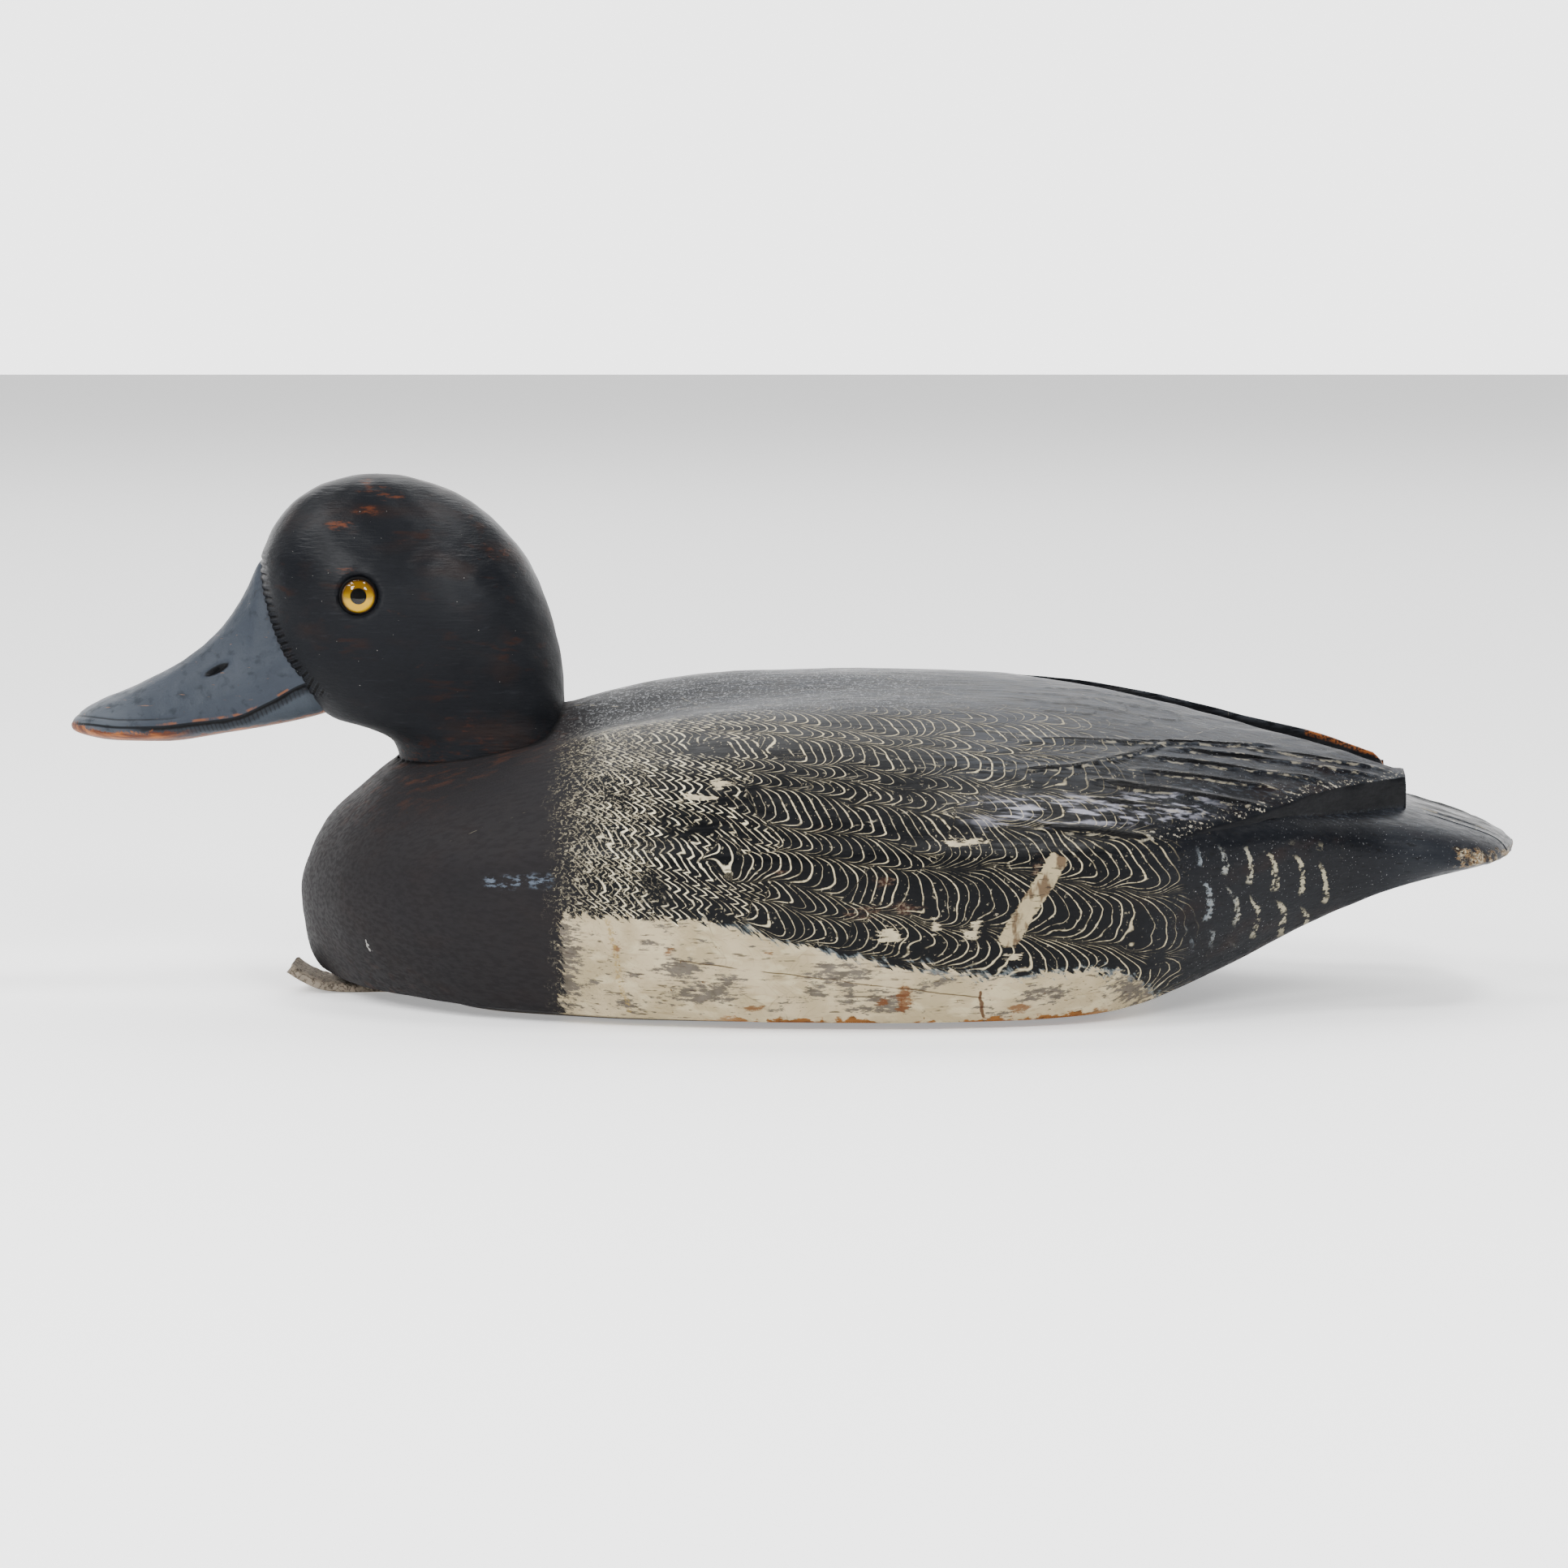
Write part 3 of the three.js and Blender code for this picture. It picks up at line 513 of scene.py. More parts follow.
def neck_room(x, y, z):
    """Millimetres from the neck's side at that height: negative inside the neck."""
    level = np.clip(z, NECK_SEAT_Z, 90)
    front, rear = head_front(level), head_rear(level)
    half = (rear - front) / 2
    wide = head_width(level)
    n = np.where(x > (front + rear) / 2, rear_roundness(level), HEAD_ROUNDNESS)
    share = (np.abs((x - (front + rear) / 2) / half) ** n + np.abs(y / wide) ** n) ** (1 / n)
    return (share - 1) * np.minimum(half, wide)


def line_depth(u, v, path, width, depth):
    """How deep a carved line cuts at each place, running out at both of its ends."""
    near = distance_to_lines(u, v, [path])
    lengths = np.concatenate([[0], np.cumsum(np.hypot(*np.diff(path, axis=0).T))])
    along = np.interp(u, path[:, 0], lengths)
    fade = np.clip(np.minimum(along, lengths[-1] - along) / 5, 0.15, 1)
    return depth * fade * (0.5 + 0.5 * np.cos(math.pi * np.clip(near / (width / 2 + 0.9), 0, 1)))


def build_body(material):
    """The body: the carved surface, the fine cuts in it and the fields that place its paint."""
    half = body_grid()
    left = half * np.array([1, -1, 1])
    right = half[:, -2:0:-1]
    grid = np.concatenate([left, right], axis=1)
    x, y, z = np.moveaxis(grid, -1, 0)
    side = np.concatenate([np.full(left.shape[1], -1.0), np.full(right.shape[1], 1.0)])
    side = side[None, :] * np.ones_like(x)
    counts = [1] + list(COLUMNS.values())
    label = np.repeat(np.arange(len(counts)), counts)
    label = np.concatenate([label, label[-2:0:-1]])[None, :] * np.ones(x.shape, int)
    wing_columns = (label >= STEP) & (label <= WALL)
    girth = girth_at(x, y, z)
    girth = np.where(label >= CLEFT, girth + CLEFT_GIRTH, girth)
    normals = grid_normals(grid)

    cut = unevenness(grid, (0.1, 3, 24), (0.05, 5, 8)) * ramp(z, 0.3, 5)
    upper = wing_columns & (z > waist(x) + 0.5)
    for width, depth, path in WING_LINES:
        path = on_wing(smooth_path(path))
        near = (x > path[0, 0] - LINE_REACH) & (x < path[-1, 0] + LINE_REACH)
        window = near & upper & (x < WING_TIP_X)
        cut = np.where(window, cut + WING_CARVED * line_depth(x, girth, path, width, depth), cut)
    tail = (x > WING_TIP_X + TIP_DROP) & (label >= STEP)
    for width, depth, path in TAIL_LINES:
        path = smooth_path(path)
        cut = np.where(tail, cut + TAIL_CARVED * line_depth(x, np.abs(y), path, width, depth), cut)
    tips = [on_wing(smooth_path(outline, 40)) for outline in feather_tips()]
    in_tips = upper & (x > 52) & (x < 140)
    scales = np.where(in_tips, distance_to_lines(x, girth, tips), FAR)
    cut += FEATHER_DEPTH * np.clip(1 - scales / FEATHER_HALF, 0, 1)

    seam = neck_room(x, y, z)
    cut += SEAM_DEPTH * np.clip(1 - np.abs(seam) / SEAM_HALF, 0, 1) * (label >= RUMP_EDGE)
    share = np.abs(y) / np.maximum(beam(x), 1e-6)
    rim = np.maximum(ramp(share, 0.86, 0.99), ramp(x, 181.5, 184.2)) * ramp(x, 158, 168)
    cut += rim * 0.12 * (1 - waves(grid, 11, 4))
    edge_wear = ramp(x, 88, 100) * (label == WING) * np.clip(1 - waves(grid, 17, 9), 0, 1)
    cut += 0.15 * edge_wear
    grid = grid - normals * np.maximum(cut, 0)[..., None]
    grid[..., 0] = np.clip(grid[..., 0], BREAST_X, TAIL_X)
    grid[..., 1] = np.clip(grid[..., 1], -beam(x), beam(x))

    limit = straight_through(WORN_TIP, x)
    floor = rump_height(x, y)
    far_edge = (side > 0) & (label >= WING) & (label <= WALL) & (x > 130)
    from_edge = np.hypot(np.abs(y) - cleft(x), np.minimum(z - back_height(x, y), 0) * 0.6)
    spans = (side > 0) & (np.abs(y) > WORN_SPAN[0]) & (x > WORN_TIP[0][0]) & (x < WORN_TIP[-1][0])
    spans &= label >= WING
    lowered = np.where(spans, np.minimum(grid[..., 2], np.maximum(limit, floor)), grid[..., 2])
    worn = np.clip((grid[..., 2] - lowered) / 0.5, 0, 1)
    worn = np.maximum(worn, np.clip(1 - np.abs(grid[..., 2] - limit) / 1.6, 0, 1) * spans)
    worn = np.maximum(worn, far_edge * np.clip(1.5 - from_edge / 2.2, 0, 1) * ramp(x, 131, 137))
    grid[..., 2] = lowered
    under_neck = (seam < -POCKET_MARGIN) & (label >= RUMP_EDGE)
    grid[..., 2] = np.where(under_neck, NECK_SEAT_Z - POCKET_DROP, grid[..., 2])
    grid[..., 2] = np.maximum(grid[..., 2], 0)

    phase, pace = comb_phase(x)
    c = ROW_FIT
    row = c[0] + c[1] * x + c[2] * girth + c[3] * x * girth + c[4] * girth**2 + c[5] * x**2
    band_top = straight_through(BAND_TOP, x)
    band = np.minimum(band_top - z, np.minimum(x - BAND_FRONT_X, BAND_REAR_X - x))
    band = np.where(z < waist(x), band, -FAR)
    left_side = side < 0
    (ax, az), (bx, bz), half_wide = PATCH
    run = np.array([bx - ax, bz - az])
    t = ((x - ax) * run[0] + (z - az) * run[1]) / (run @ run)
    off = np.abs((x - ax) * run[1] - (z - az) * run[0]) / np.hypot(*run)
    patch = np.minimum(half_wide - off, np.minimum(t, 1 - t) * np.hypot(*run))
    under_wing = (label == STEP) & (x > WING_STEP_X + 3)
    in_cleft = (label >= WALL) & (x > WING_START_X + 4)
    wing_top = (label == WING) & (x > WING_STEP_X)
    fields = {
        "girth": girth,
        "row": row,
        "phase": phase,
        "pace": pace,
        "carved_wing": np.where(upper & (x < WING_TIP_X), 1.0, 0.0),
        "carved_tail": np.where(tail, 1.0, 0.0),
        "scales": scales,
        "seam": np.clip(seam, -FAR, 40),
        "rim": rim,
        "worn": worn,
        "band": band,
        "patch": np.where(left_side & (z < 50), patch, -FAR),
        "chip": np.where(left_side, spots(x, girth, CHIPS), 0),
        "brown": np.where(left_side, spots(x, girth, BROWN_SPOTS), 0),
        "smudge": np.where(left_side, spots(x, z, SMUDGES), 0),
        "stain": np.where(left_side, spots(x, z, STAINS), 0),
        "plain": np.where(under_wing | in_cleft, 1.0, 0.0),
        "wing_rim": np.where(wing_top, np.minimum(np.abs(wing_edge(x) - np.abs(y)), 30), 30),
    }
    return make_piece("decoy_body", grid, fields, material)


# ---------------------------------------------------------------- head and bill

# Head and neck outline, each a list of [height, value], then the bill's by place along it
HEAD_FRONT = [
    (56, -101.5), (61, -101), (64.5, -102.2), (66.5, -104.8), (68.5, -110), (71, -118), (74, -121.8),
    (80, -127.5), (88, -132.5), (98, -135), (106, -135.8), (111, -135.9), (116.4, -134.2), (121.5, -131.4),
    (126.4, -127), (130.5, -120.5), (131.7, -117), (132.6, -112.95), (133.06, -109.3), (133.2, -106),
]
HEAD_REAR = [
    (56, -59.5), (74, -58.3), (84, -58.8), (94, -60.8), (104, -64), (111.4, -67.6), (121.4, -76),
    (126.4, -82.4), (130.5, -91), (131.7, -95), (132.6, -99.05), (133.06, -102.7), (133.2, -106),
]
HEAD_WIDTH = [
    (56, 23.5), (62, 22.8), (70, 22.2), (78, 23.6), (88, 25.2), (98, 24.4), (108, 21.9), (118, 17.8),
    (126, 12.6), (130.5, 8), (131.7, 5.96), (132.6, 3.8), (133.06, 1.85), (133.2, 0),
]
HEAD_ROUNDNESS = 2.15
REAR_ROUNDNESS = [(56, 3.5), (72, 3.3), (82, 2.7), (94, 2.2), (104, 2.15), (133.2, 2.15)]
CULMEN = [
    (-185, 68.3), (-183.6, 71.2), (-180, 73.9), (-169, 78.8), (-159, 83.7), (-151, 89.3), (-144.5, 96),
    (-139.5, 104), (-136, 111), (-132, 113.5), (-112, 112),
]
MOUTH = [
    (-185, 68.3), (-183, 69.3), (-178.8, 69.5), (-170, 69), (-161, 69.1), (-153.4, 69.9), (-142.5, 71.2),
    (-132.7, 75.3), (-124.3, 79.8), (-112, 83),
]
BILL_UNDER = [
    (-185, 68.3), (-181.6, 66.4), (-172, 65), (-160, 64.8), (-144, 67), (-125, 70.4), (-118, 72.5), (-112, 76),
]
BILL_WIDTH = [(-185, 0), (-182, 7.5), (-176, 12), (-166, 13.6), (-150, 12.8), (-134, 12.6), (-112, 13)]
BILL_TOP_ROUNDNESS = [(-185, 2), (-165, 1.9), (-150, 1.6), (-136, 1.45), (-112, 1.45)]
LOWER_LAP = 1.5
LOWER_ROUNDNESS = 3
LOWER_INSET = [(-185, 0.3), (-165, 0.5), (-150, 1.2), (-133, 2), (-112, 2.2)]
LIP_LINE = 2.2  # height of the fine line over the mouth
LIP_DEPTH = 0.22
NOSTRIL = {"x": -146.6, "z": 83.8, "length": 6.4, "height": 1.7, "depth": 1.6, "slope": 0.45}

along_bill = round_ends(BILL_TIP_X, 2 * BILL_ROOT_X - BILL_TIP_X)
head_front, head_rear, head_width, rear_roundness = curves(
    None, HEAD_FRONT, HEAD_REAR, HEAD_WIDTH, REAR_ROUNDNESS
)
bill_top, bill_mouth, bill_under, bill_width = curves(along_bill, CULMEN, MOUTH, BILL_UNDER, BILL_WIDTH)
bill_roundness, lower_inset = curves(None, BILL_TOP_ROUNDNESS, LOWER_INSET)


def power(value, exponent):
    """A power of the value's size that keeps its sign."""
    return np.sign(value) * np.abs(value) ** exponent


def head_points(levels, sides):
    """Level slices of the head and neck, from the seat up to the crown."""
    angle = np.linspace(0, 2 * math.pi, sides, endpoint=False)[None, :]
    z = levels[:, None]
    front, rear = head_front(z), head_rear(z)
    exponent = 2 / np.where(np.cos(angle) > 0, rear_roundness(z), HEAD_ROUNDNESS)
    x = (front + rear) / 2 + power(np.cos(angle), exponent) * (rear - front) / 2
    y = power(np.sin(angle), exponent) * head_width(z)
    return np.stack([x, y, z * np.ones_like(x)], -1)


def arch(places, width, base, rise, roundness, count):
    """Arches over, or with a negative rise under, the bill from one side to the other."""
    angle = np.linspace(0, math.pi, count)[None, :]
    exponent = 2 / roundness
    y = power(np.cos(angle), exponent) * width
    z = base + rise * np.abs(np.sin(angle)) ** exponent
    return np.stack([places * np.ones_like(y), y, z], -1)


def outside_bill(x, y, z):
    """Millimetres outside the upper bill's surface, by its slice at x: negative inside it."""
    inside = np.clip(x, BILL_TIP_X + 0.5, BILL_ROOT_X)
    mouth = bill_mouth(inside)
    rise = bill_top(inside) - mouth
    share = np.abs(y / bill_width(inside)) ** bill_roundness(inside)
    share = share + np.abs(np.clip((z - mouth) / rise, 0, 9)) ** bill_roundness(inside)
    upper = (share ** (1 / bill_roundness(inside)) - 1) * np.minimum(bill_width(inside), rise)
    return np.maximum(upper, (mouth - z) * 0.9)


# The face's painted edge, seen from the side, as [x, z], and the row of small cuts along it
FACE_EDGE = [
    (-134.5, 118), (-135.4, 112.5), (-135.6, 106.6), (-135.7, 98), (-134.5, 93.3), (-131.4, 85.6),
    (-129, 80.8), (-126, 77.6), (-118.8, 73.1),
]
NOTCH_STEP, NOTCH_LENGTH, NOTCH_DEPTH, NOTCH_HALF = 1.9, 3.6, 0.45, 0.4
FACE_LIP = 0.05  # how far the face's edge stands up
# The dish round the eye and the deeper seat under it: (depth, full within, none beyond)
SOCKET = [(1.35, 4.5, 6.0), (1.6, 3.4, 4.4)]
EYE = {"x": -109.0, "z": 103.3, "radius": 4.9, "dome": 2.0, "depth": 3.6, "proud": 1.3}
LENS_RADIUS = 4.25
LENS_OVER = 0.02  # how far the lens reaches into the enamel, so that no air is left between
LENS_BACK = 0.47  # how far the lens's back lies inside the rim
AXIS = 0.001  # radius of the rings that end on the eye's axis

# Red-brown places on the left side of the head: (place, height, half length, half height, strength)
RUST = [
    (-114.2, 121, 4, 1.8, 1), (-114, 109.8, 6, 1.2, 0.6), (-108, 131.6, 3, 1, 0.8), (-106, 129.6, 5, 1.2, 0.75),
    (-101.5, 128, 5, 1.2, 0.8), (-107, 124.4, 5, 1.5, 0.85), (-74.4, 114.4, 8, 3, 0.5), (-98.9, 99.8, 5, 2.4, 0.35),
    (-91.5, 86, 5, 1.2, 0.4), (-96, 117, 7, 2, 0.4), (-80, 70, 12, 5, 0.45),
]


def along_path(u, v, path):
    """Distance to a drawn line and how far along it the nearest point lies."""
    path = np.array(path, float)
    best = np.full(u.shape, 1e3)
    travelled = np.zeros(u.shape)
    start = 0.0
    for a, b in zip(path[:-1], path[1:]):
        ab = b - a
        length = float(np.hypot(*ab))
        t = np.clip(((u - a[0]) * ab[0] + (v - a[1]) * ab[1]) / length**2, 0, 1)
        d = np.hypot(u - a[0] - t * ab[0], v - a[1] - t * ab[1])
        travelled = np.where(d < best, start + t * length, travelled)
        best = np.minimum(best, d)
        start += length
    return best, travelled


def build_head(material):
    """The head and neck, with the small cuts along the face and the sockets of the eyes."""
    levels = NECK_SEAT_Z + (HEAD_TOP_Z - NECK_SEAT_Z) * np.sin(np.linspace(0, math.pi / 2, 166))
    levels[-1] = HEAD_TOP_Z - 0.01
    grid = head_points(levels, 330)
    x, y, z = np.moveaxis(grid, -1, 0)
    normals = outwards(-grid_normals(grid), grid, (head_front(z) + head_rear(z)) / 2, z)
    edge = outside_bill(x, y, z)
    _, travelled = along_path(x, z, FACE_EDGE)
    wanted = (z > 72) & (z < 113) & (x < -112)
    from_cut = np.abs((travelled / NOTCH_STEP) % 1 - 0.5) * NOTCH_STEP
    reach = ramp(edge, -0.5, 0.2) * (1 - ramp(edge, NOTCH_LENGTH - 1, NOTCH_LENGTH + 0.6))
    notch = np.where(wanted, np.clip(1.4 - from_cut / NOTCH_HALF, 0, 1) * reach, 0)
    lip = np.where(wanted, (1 - ramp(edge, 1.5, 4)), 0)
    eye_far = np.hypot(x - EYE["x"], z - EYE["z"])
    socket = sum(depth * (1 - ramp(eye_far, inner, outer)) for depth, inner, outer in SOCKET)
    cut = unevenness(grid, (0.08, 21, 18), (0.05, 22, 6))
    cut += NOTCH_DEPTH * notch - FACE_LIP * lip * (y != 0) + socket
    cut *= ramp(z, NECK_SEAT_Z, NECK_SEAT_Z + 2)
    grid = grid - normals * cut[..., None]
    fields = {
        "edge": np.where(wanted, np.clip(edge, -5, 40), 40),
        "travel": travelled,
        "rust": spots(x, z, RUST) * (y < 0),
    }
    return make_piece("decoy_head", grid, fields, material, first=True, last=True)


def bill_stations():
    """Places along the bill, close together at its round tip."""
    return np.concatenate([
        round_stations(BILL_TIP_X + 0.02, -178, 16)[:-1], stations((-178, BILL_ROOT_X, 0.7)),
    ])


def build_upper_bill(material):
    """The upper bill with its nostrils and the fine line over its lip, closed in underneath."""
    places = bill_stations()[:, None]
    mouth, top = bill_mouth(places), bill_top(places)
    grid = arch(places, bill_width(places), mouth, top - mouth, bill_roundness(places), 110)
    x, y, z = np.moveaxis(grid, -1, 0)
    normals = outwards(grid_normals(grid, closed=False), grid, x, (mouth + top) / 2)
    n = NOSTRIL
    away = np.array([math.cos(n["slope"]), math.sin(n["slope"])])
    run = (x - n["x"]) * away[0] + (z - n["z"]) * away[1]
    rise = (z - n["z"]) * away[0] - (x - n["x"]) * away[1]
    slit = np.clip(1.35 - np.hypot(run / (n["length"] / 2), rise / (n["height"] / 2)), 0, 1)
    above = z - mouth
    lip = np.clip(1 - np.abs(above - LIP_LINE) / 0.5, 0, 1) * ramp(-x, 152, 158)
    cut = unevenness(grid, (0.06, 31, 12), (0.05, 32, 4))
    cut += n["depth"] * slit * (np.abs(y) > 2) + LIP_DEPTH * lip
    grid = grid - normals * cut[..., None] * ramp(x, BILL_TIP_X, BILL_TIP_X + 1.5)[..., None]
    fields = {
        "above": above, "slit": slit, "lip": lip,
        "under": z - bill_under(places) * np.ones_like(z), "lower": np.zeros_like(z),
    }
    floor = grid[:, [0, -1], :]
    inner = floor[:, ::-1] * np.array([1, 0.85, 1]) + np.array([0, 0, 0.6])
    grid = np.concatenate([grid, inner], axis=1)
    fields = {k: np.concatenate([v, v[:, [-1, 0]]], axis=1) for k, v in fields.items()}
    return make_piece("decoy_bill_upper", grid, fields, material, last=True, sharp=50)


def build_lower_bill(material):
    """The lower bill, which laps a little way up inside the upper one."""
    places = bill_stations()[:, None]
    mouth, top, under = bill_mouth(places), bill_top(places), bill_under(places)
    base = mouth + np.minimum(LOWER_LAP, (top - mouth) / 3)
    width = np.maximum(0, bill_width(places) - lower_inset(places))
    grid = arch(places, width, base, under - base, LOWER_ROUNDNESS, 70)
    x, z = grid[..., 0], grid[..., 2]
    fields = {
        "above": z - mouth, "slit": np.zeros_like(z), "lip": np.zeros_like(z),
        "under": z - under * np.ones_like(z), "lower": np.ones_like(z) * ramp(x, -170, -162),
    }
    return make_piece("decoy_bill_lower", grid, fields, material, last=True, sharp=50)


def cheek_at(x, z):
    """How far out the side of the head stands there."""
    front, rear = float(head_front(z)), float(head_rear(z))
    share = (x - (front + rear) / 2) / ((rear - front) / 2)
    return float(head_width(z)) * float(bulge(share, HEAD_ROUNDNESS))


def turned(name, profile, side, material, sides=72):
    """A solid turned on the eye's axis from (radius, height) pairs, height outwards from the cheek."""
    angle = np.linspace(0, 2 * math.pi, sides, endpoint=False)[None, :]
    radius, height = (np.array(v)[:, None] for v in zip(*profile))
    cheek = cheek_at(EYE["x"], EYE["z"])
    grid = np.stack([
        EYE["x"] + radius * np.cos(angle),
        side * (cheek + height) * np.ones_like(angle),
        EYE["z"] + radius * np.sin(angle),
    ], -1)
    fields = {"eye_radius": radius * np.ones_like(angle), "eye_lift": radius * np.sin(angle)}
    return make_piece(name, grid, fields, material, sharp=50)


def build_eye(side, word, glass, iris):
    """The clear dome and, under it, the enamelled bowl with the collar that stands round the dome."""
    rim = EYE["proud"] - EYE["dome"]
    turns = np.linspace(0, math.pi / 2, 22)
    foot = rim + 0.05
    rise = EYE["proud"] - rim - 0.05
    outer = LENS_RADIUS + LENS_OVER
    dome = [(outer * math.cos(a), foot + rise * math.sin(a)) for a in turns]
    inner = [(AXIS, rim - LENS_BACK), (LENS_RADIUS - 0.2, rim - 0.46), (outer, rim - 0.22)]
    lens = turned(f"eye_{word}_glass", [*inner, *dome[:-1], (AXIS, EYE["proud"])], side, glass)
    bowl = [(AXIS, rim - 0.45), (1.9, rim - 0.45), (LENS_RADIUS - 0.2, rim - 0.44), (LENS_RADIUS + 0.04, rim - 0.2)]
    collar = [(LENS_RADIUS + 0.05, rim + 0.3), (LENS_RADIUS + 0.3, rim + 0.36), (EYE["radius"], rim)]
    back_z = rim - EYE["depth"]
    disc = turned(f"eye_{word}_iris", [*bowl, *collar, (EYE["radius"], back_z), (AXIS, back_z)], side, iris)
    return lens, disc


# ---------------------------------------------------------------- line tie

TIE = {"width": 17, "thickness": 2.6}
TIE_SPINE = [(-101, 1.45), (-110, 1.4), (-117, 1.5), (-121.5, 2.3), (-125.5, 4.1), (-129.2, 6.3)]


def build_tie(material):
    """The leather strip: a rounded, flat section carried along its spine, frayed at the free end."""
    spine = smooth_path(TIE_SPINE, 90)
    ahead = np.gradient(spine, axis=0)
    ahead /= np.linalg.norm(ahead, axis=1, keepdims=True)
    up = np.stack([ahead[:, 1], -ahead[:, 0]], -1)
    angle = np.linspace(0, 2 * math.pi, 96, endpoint=False)[None, :]
    across = power(np.cos(angle), 0.22) * TIE["width"] / 2
    high = power(np.sin(angle), 0.5) * TIE["thickness"] / 2
    x = spine[:, 0:1] + up[:, 0:1] * high
    z = spine[:, 1:2] + up[:, 1:2] * high
    grid = np.stack([x, across * np.ones_like(x), z], -1)
    share = np.linspace(0, 1, len(spine))[:, None]
    frayed = ramp(share, 0.8, 1) * (0.5 + 0.5 * waves(grid, 41, 3))
    grid[..., 1] *= 1 - 0.03 * (1 + waves(grid, 42, 7)) - 0.05 * frayed
    grid[..., 0] += 0.9 * frayed * ramp(share, 0.9, 1)
    grid[..., 2] = np.maximum(grid[..., 2] - 0.12 * (1 + waves(grid, 43, 2.5)) * (high > 0), 0.1)
    return make_piece("line_tie_leather", grid, {}, material, first=True, last=True, sharp=60)


# ---------------------------------------------------------------- paint
# Places and sizes are in millimetres; a rise gives the two ends between which a coat comes or goes.


def shade(code):
    """A colour seen on the decoy, from its usual six-figure code, as linear light."""
    parts = [int(code[i : i + 2], 16) / 255 for i in (0, 2, 4)]
    return (*[c / 12.92 if c <= 0.04045 else ((c + 0.055) / 1.055) ** 2.4 for c in parts], 1.0)


def sum_of(operation, swapped=False):
    """A sum between a value in the nodes and another value, the other one first if they are swapped."""
    if swapped:
        return lambda self, other: self.tree.math(operation, other, self)
    return lambda self, other: self.tree.math(operation, self, other)


class Wire:
    """One value in a tree of nodes, with ordinary arithmetic."""

    __add__ = __radd__ = sum_of("ADD")
    __mul__ = __rmul__ = sum_of("MULTIPLY")
    __sub__, __rsub__ = sum_of("SUBTRACT"), sum_of("SUBTRACT", swapped=True)
    __truediv__, __pow__ = sum_of("DIVIDE"), sum_of("POWER")

    def __init__(self, tree, socket):
        self.tree, self.socket = tree, socket

    def __abs__(self):
        return self.tree.math("ABSOLUTE", self)


class Tree:
    """The nodes of a material or of the world."""

    def __init__(self, node_tree):
        self.nodes, self.links = node_tree.nodes, node_tree.links

    def put(self, value, socket):
        """Links a wire to a socket, or sets the socket to a plain value."""
        if isinstance(value, Wire):
            self.links.new(value.socket, socket)
        else:
            socket.default_value = value

    def add(self, kind, output, inputs, **settings):
        """A node with its settings and its inputs, as the wire from one of its outputs."""
        node = self.nodes.new("ShaderNode" + kind)
        for key, value in settings.items():
            setattr(node, key, value)
        for socket, value in inputs.items():
            self.put(value, node.inputs[socket])
        return Wire(self, node.outputs[output])

    def parts(self, vector):
        """The x, y and z of a vector."""
        node = self.nodes.new("ShaderNodeSeparateXYZ")
        self.put(vector, node.inputs[0])
        return [Wire(self, socket) for socket in node.outputs]

    def math(self, operation, *values):
        """One math node on wires or numbers."""
        return self.add("Math", 0, dict(enumerate(values)), operation=operation)

    least = partialmethod(math, "MINIMUM")
    most = partialmethod(math, "MAXIMUM")
    fraction = partialmethod(math, "FRACT")
    whole = partialmethod(math, "FLOOR")

    def dice(self, a):
        """A random value for each whole number."""
        return self.fraction(self.math("SINE", a * 12.9898) * 43758.5453)

    def scaled(self, vector, sizes):
        """A vector multiplied axis by axis."""
        return self.add("VectorMath", 0, {0: vector, 1: sizes}, operation="MULTIPLY")

    def vector(self, x, y, z):
        """Three numbers put together as a vector."""
        return self.add("CombineXYZ", 0, {0: x, 1: y, 2: z})


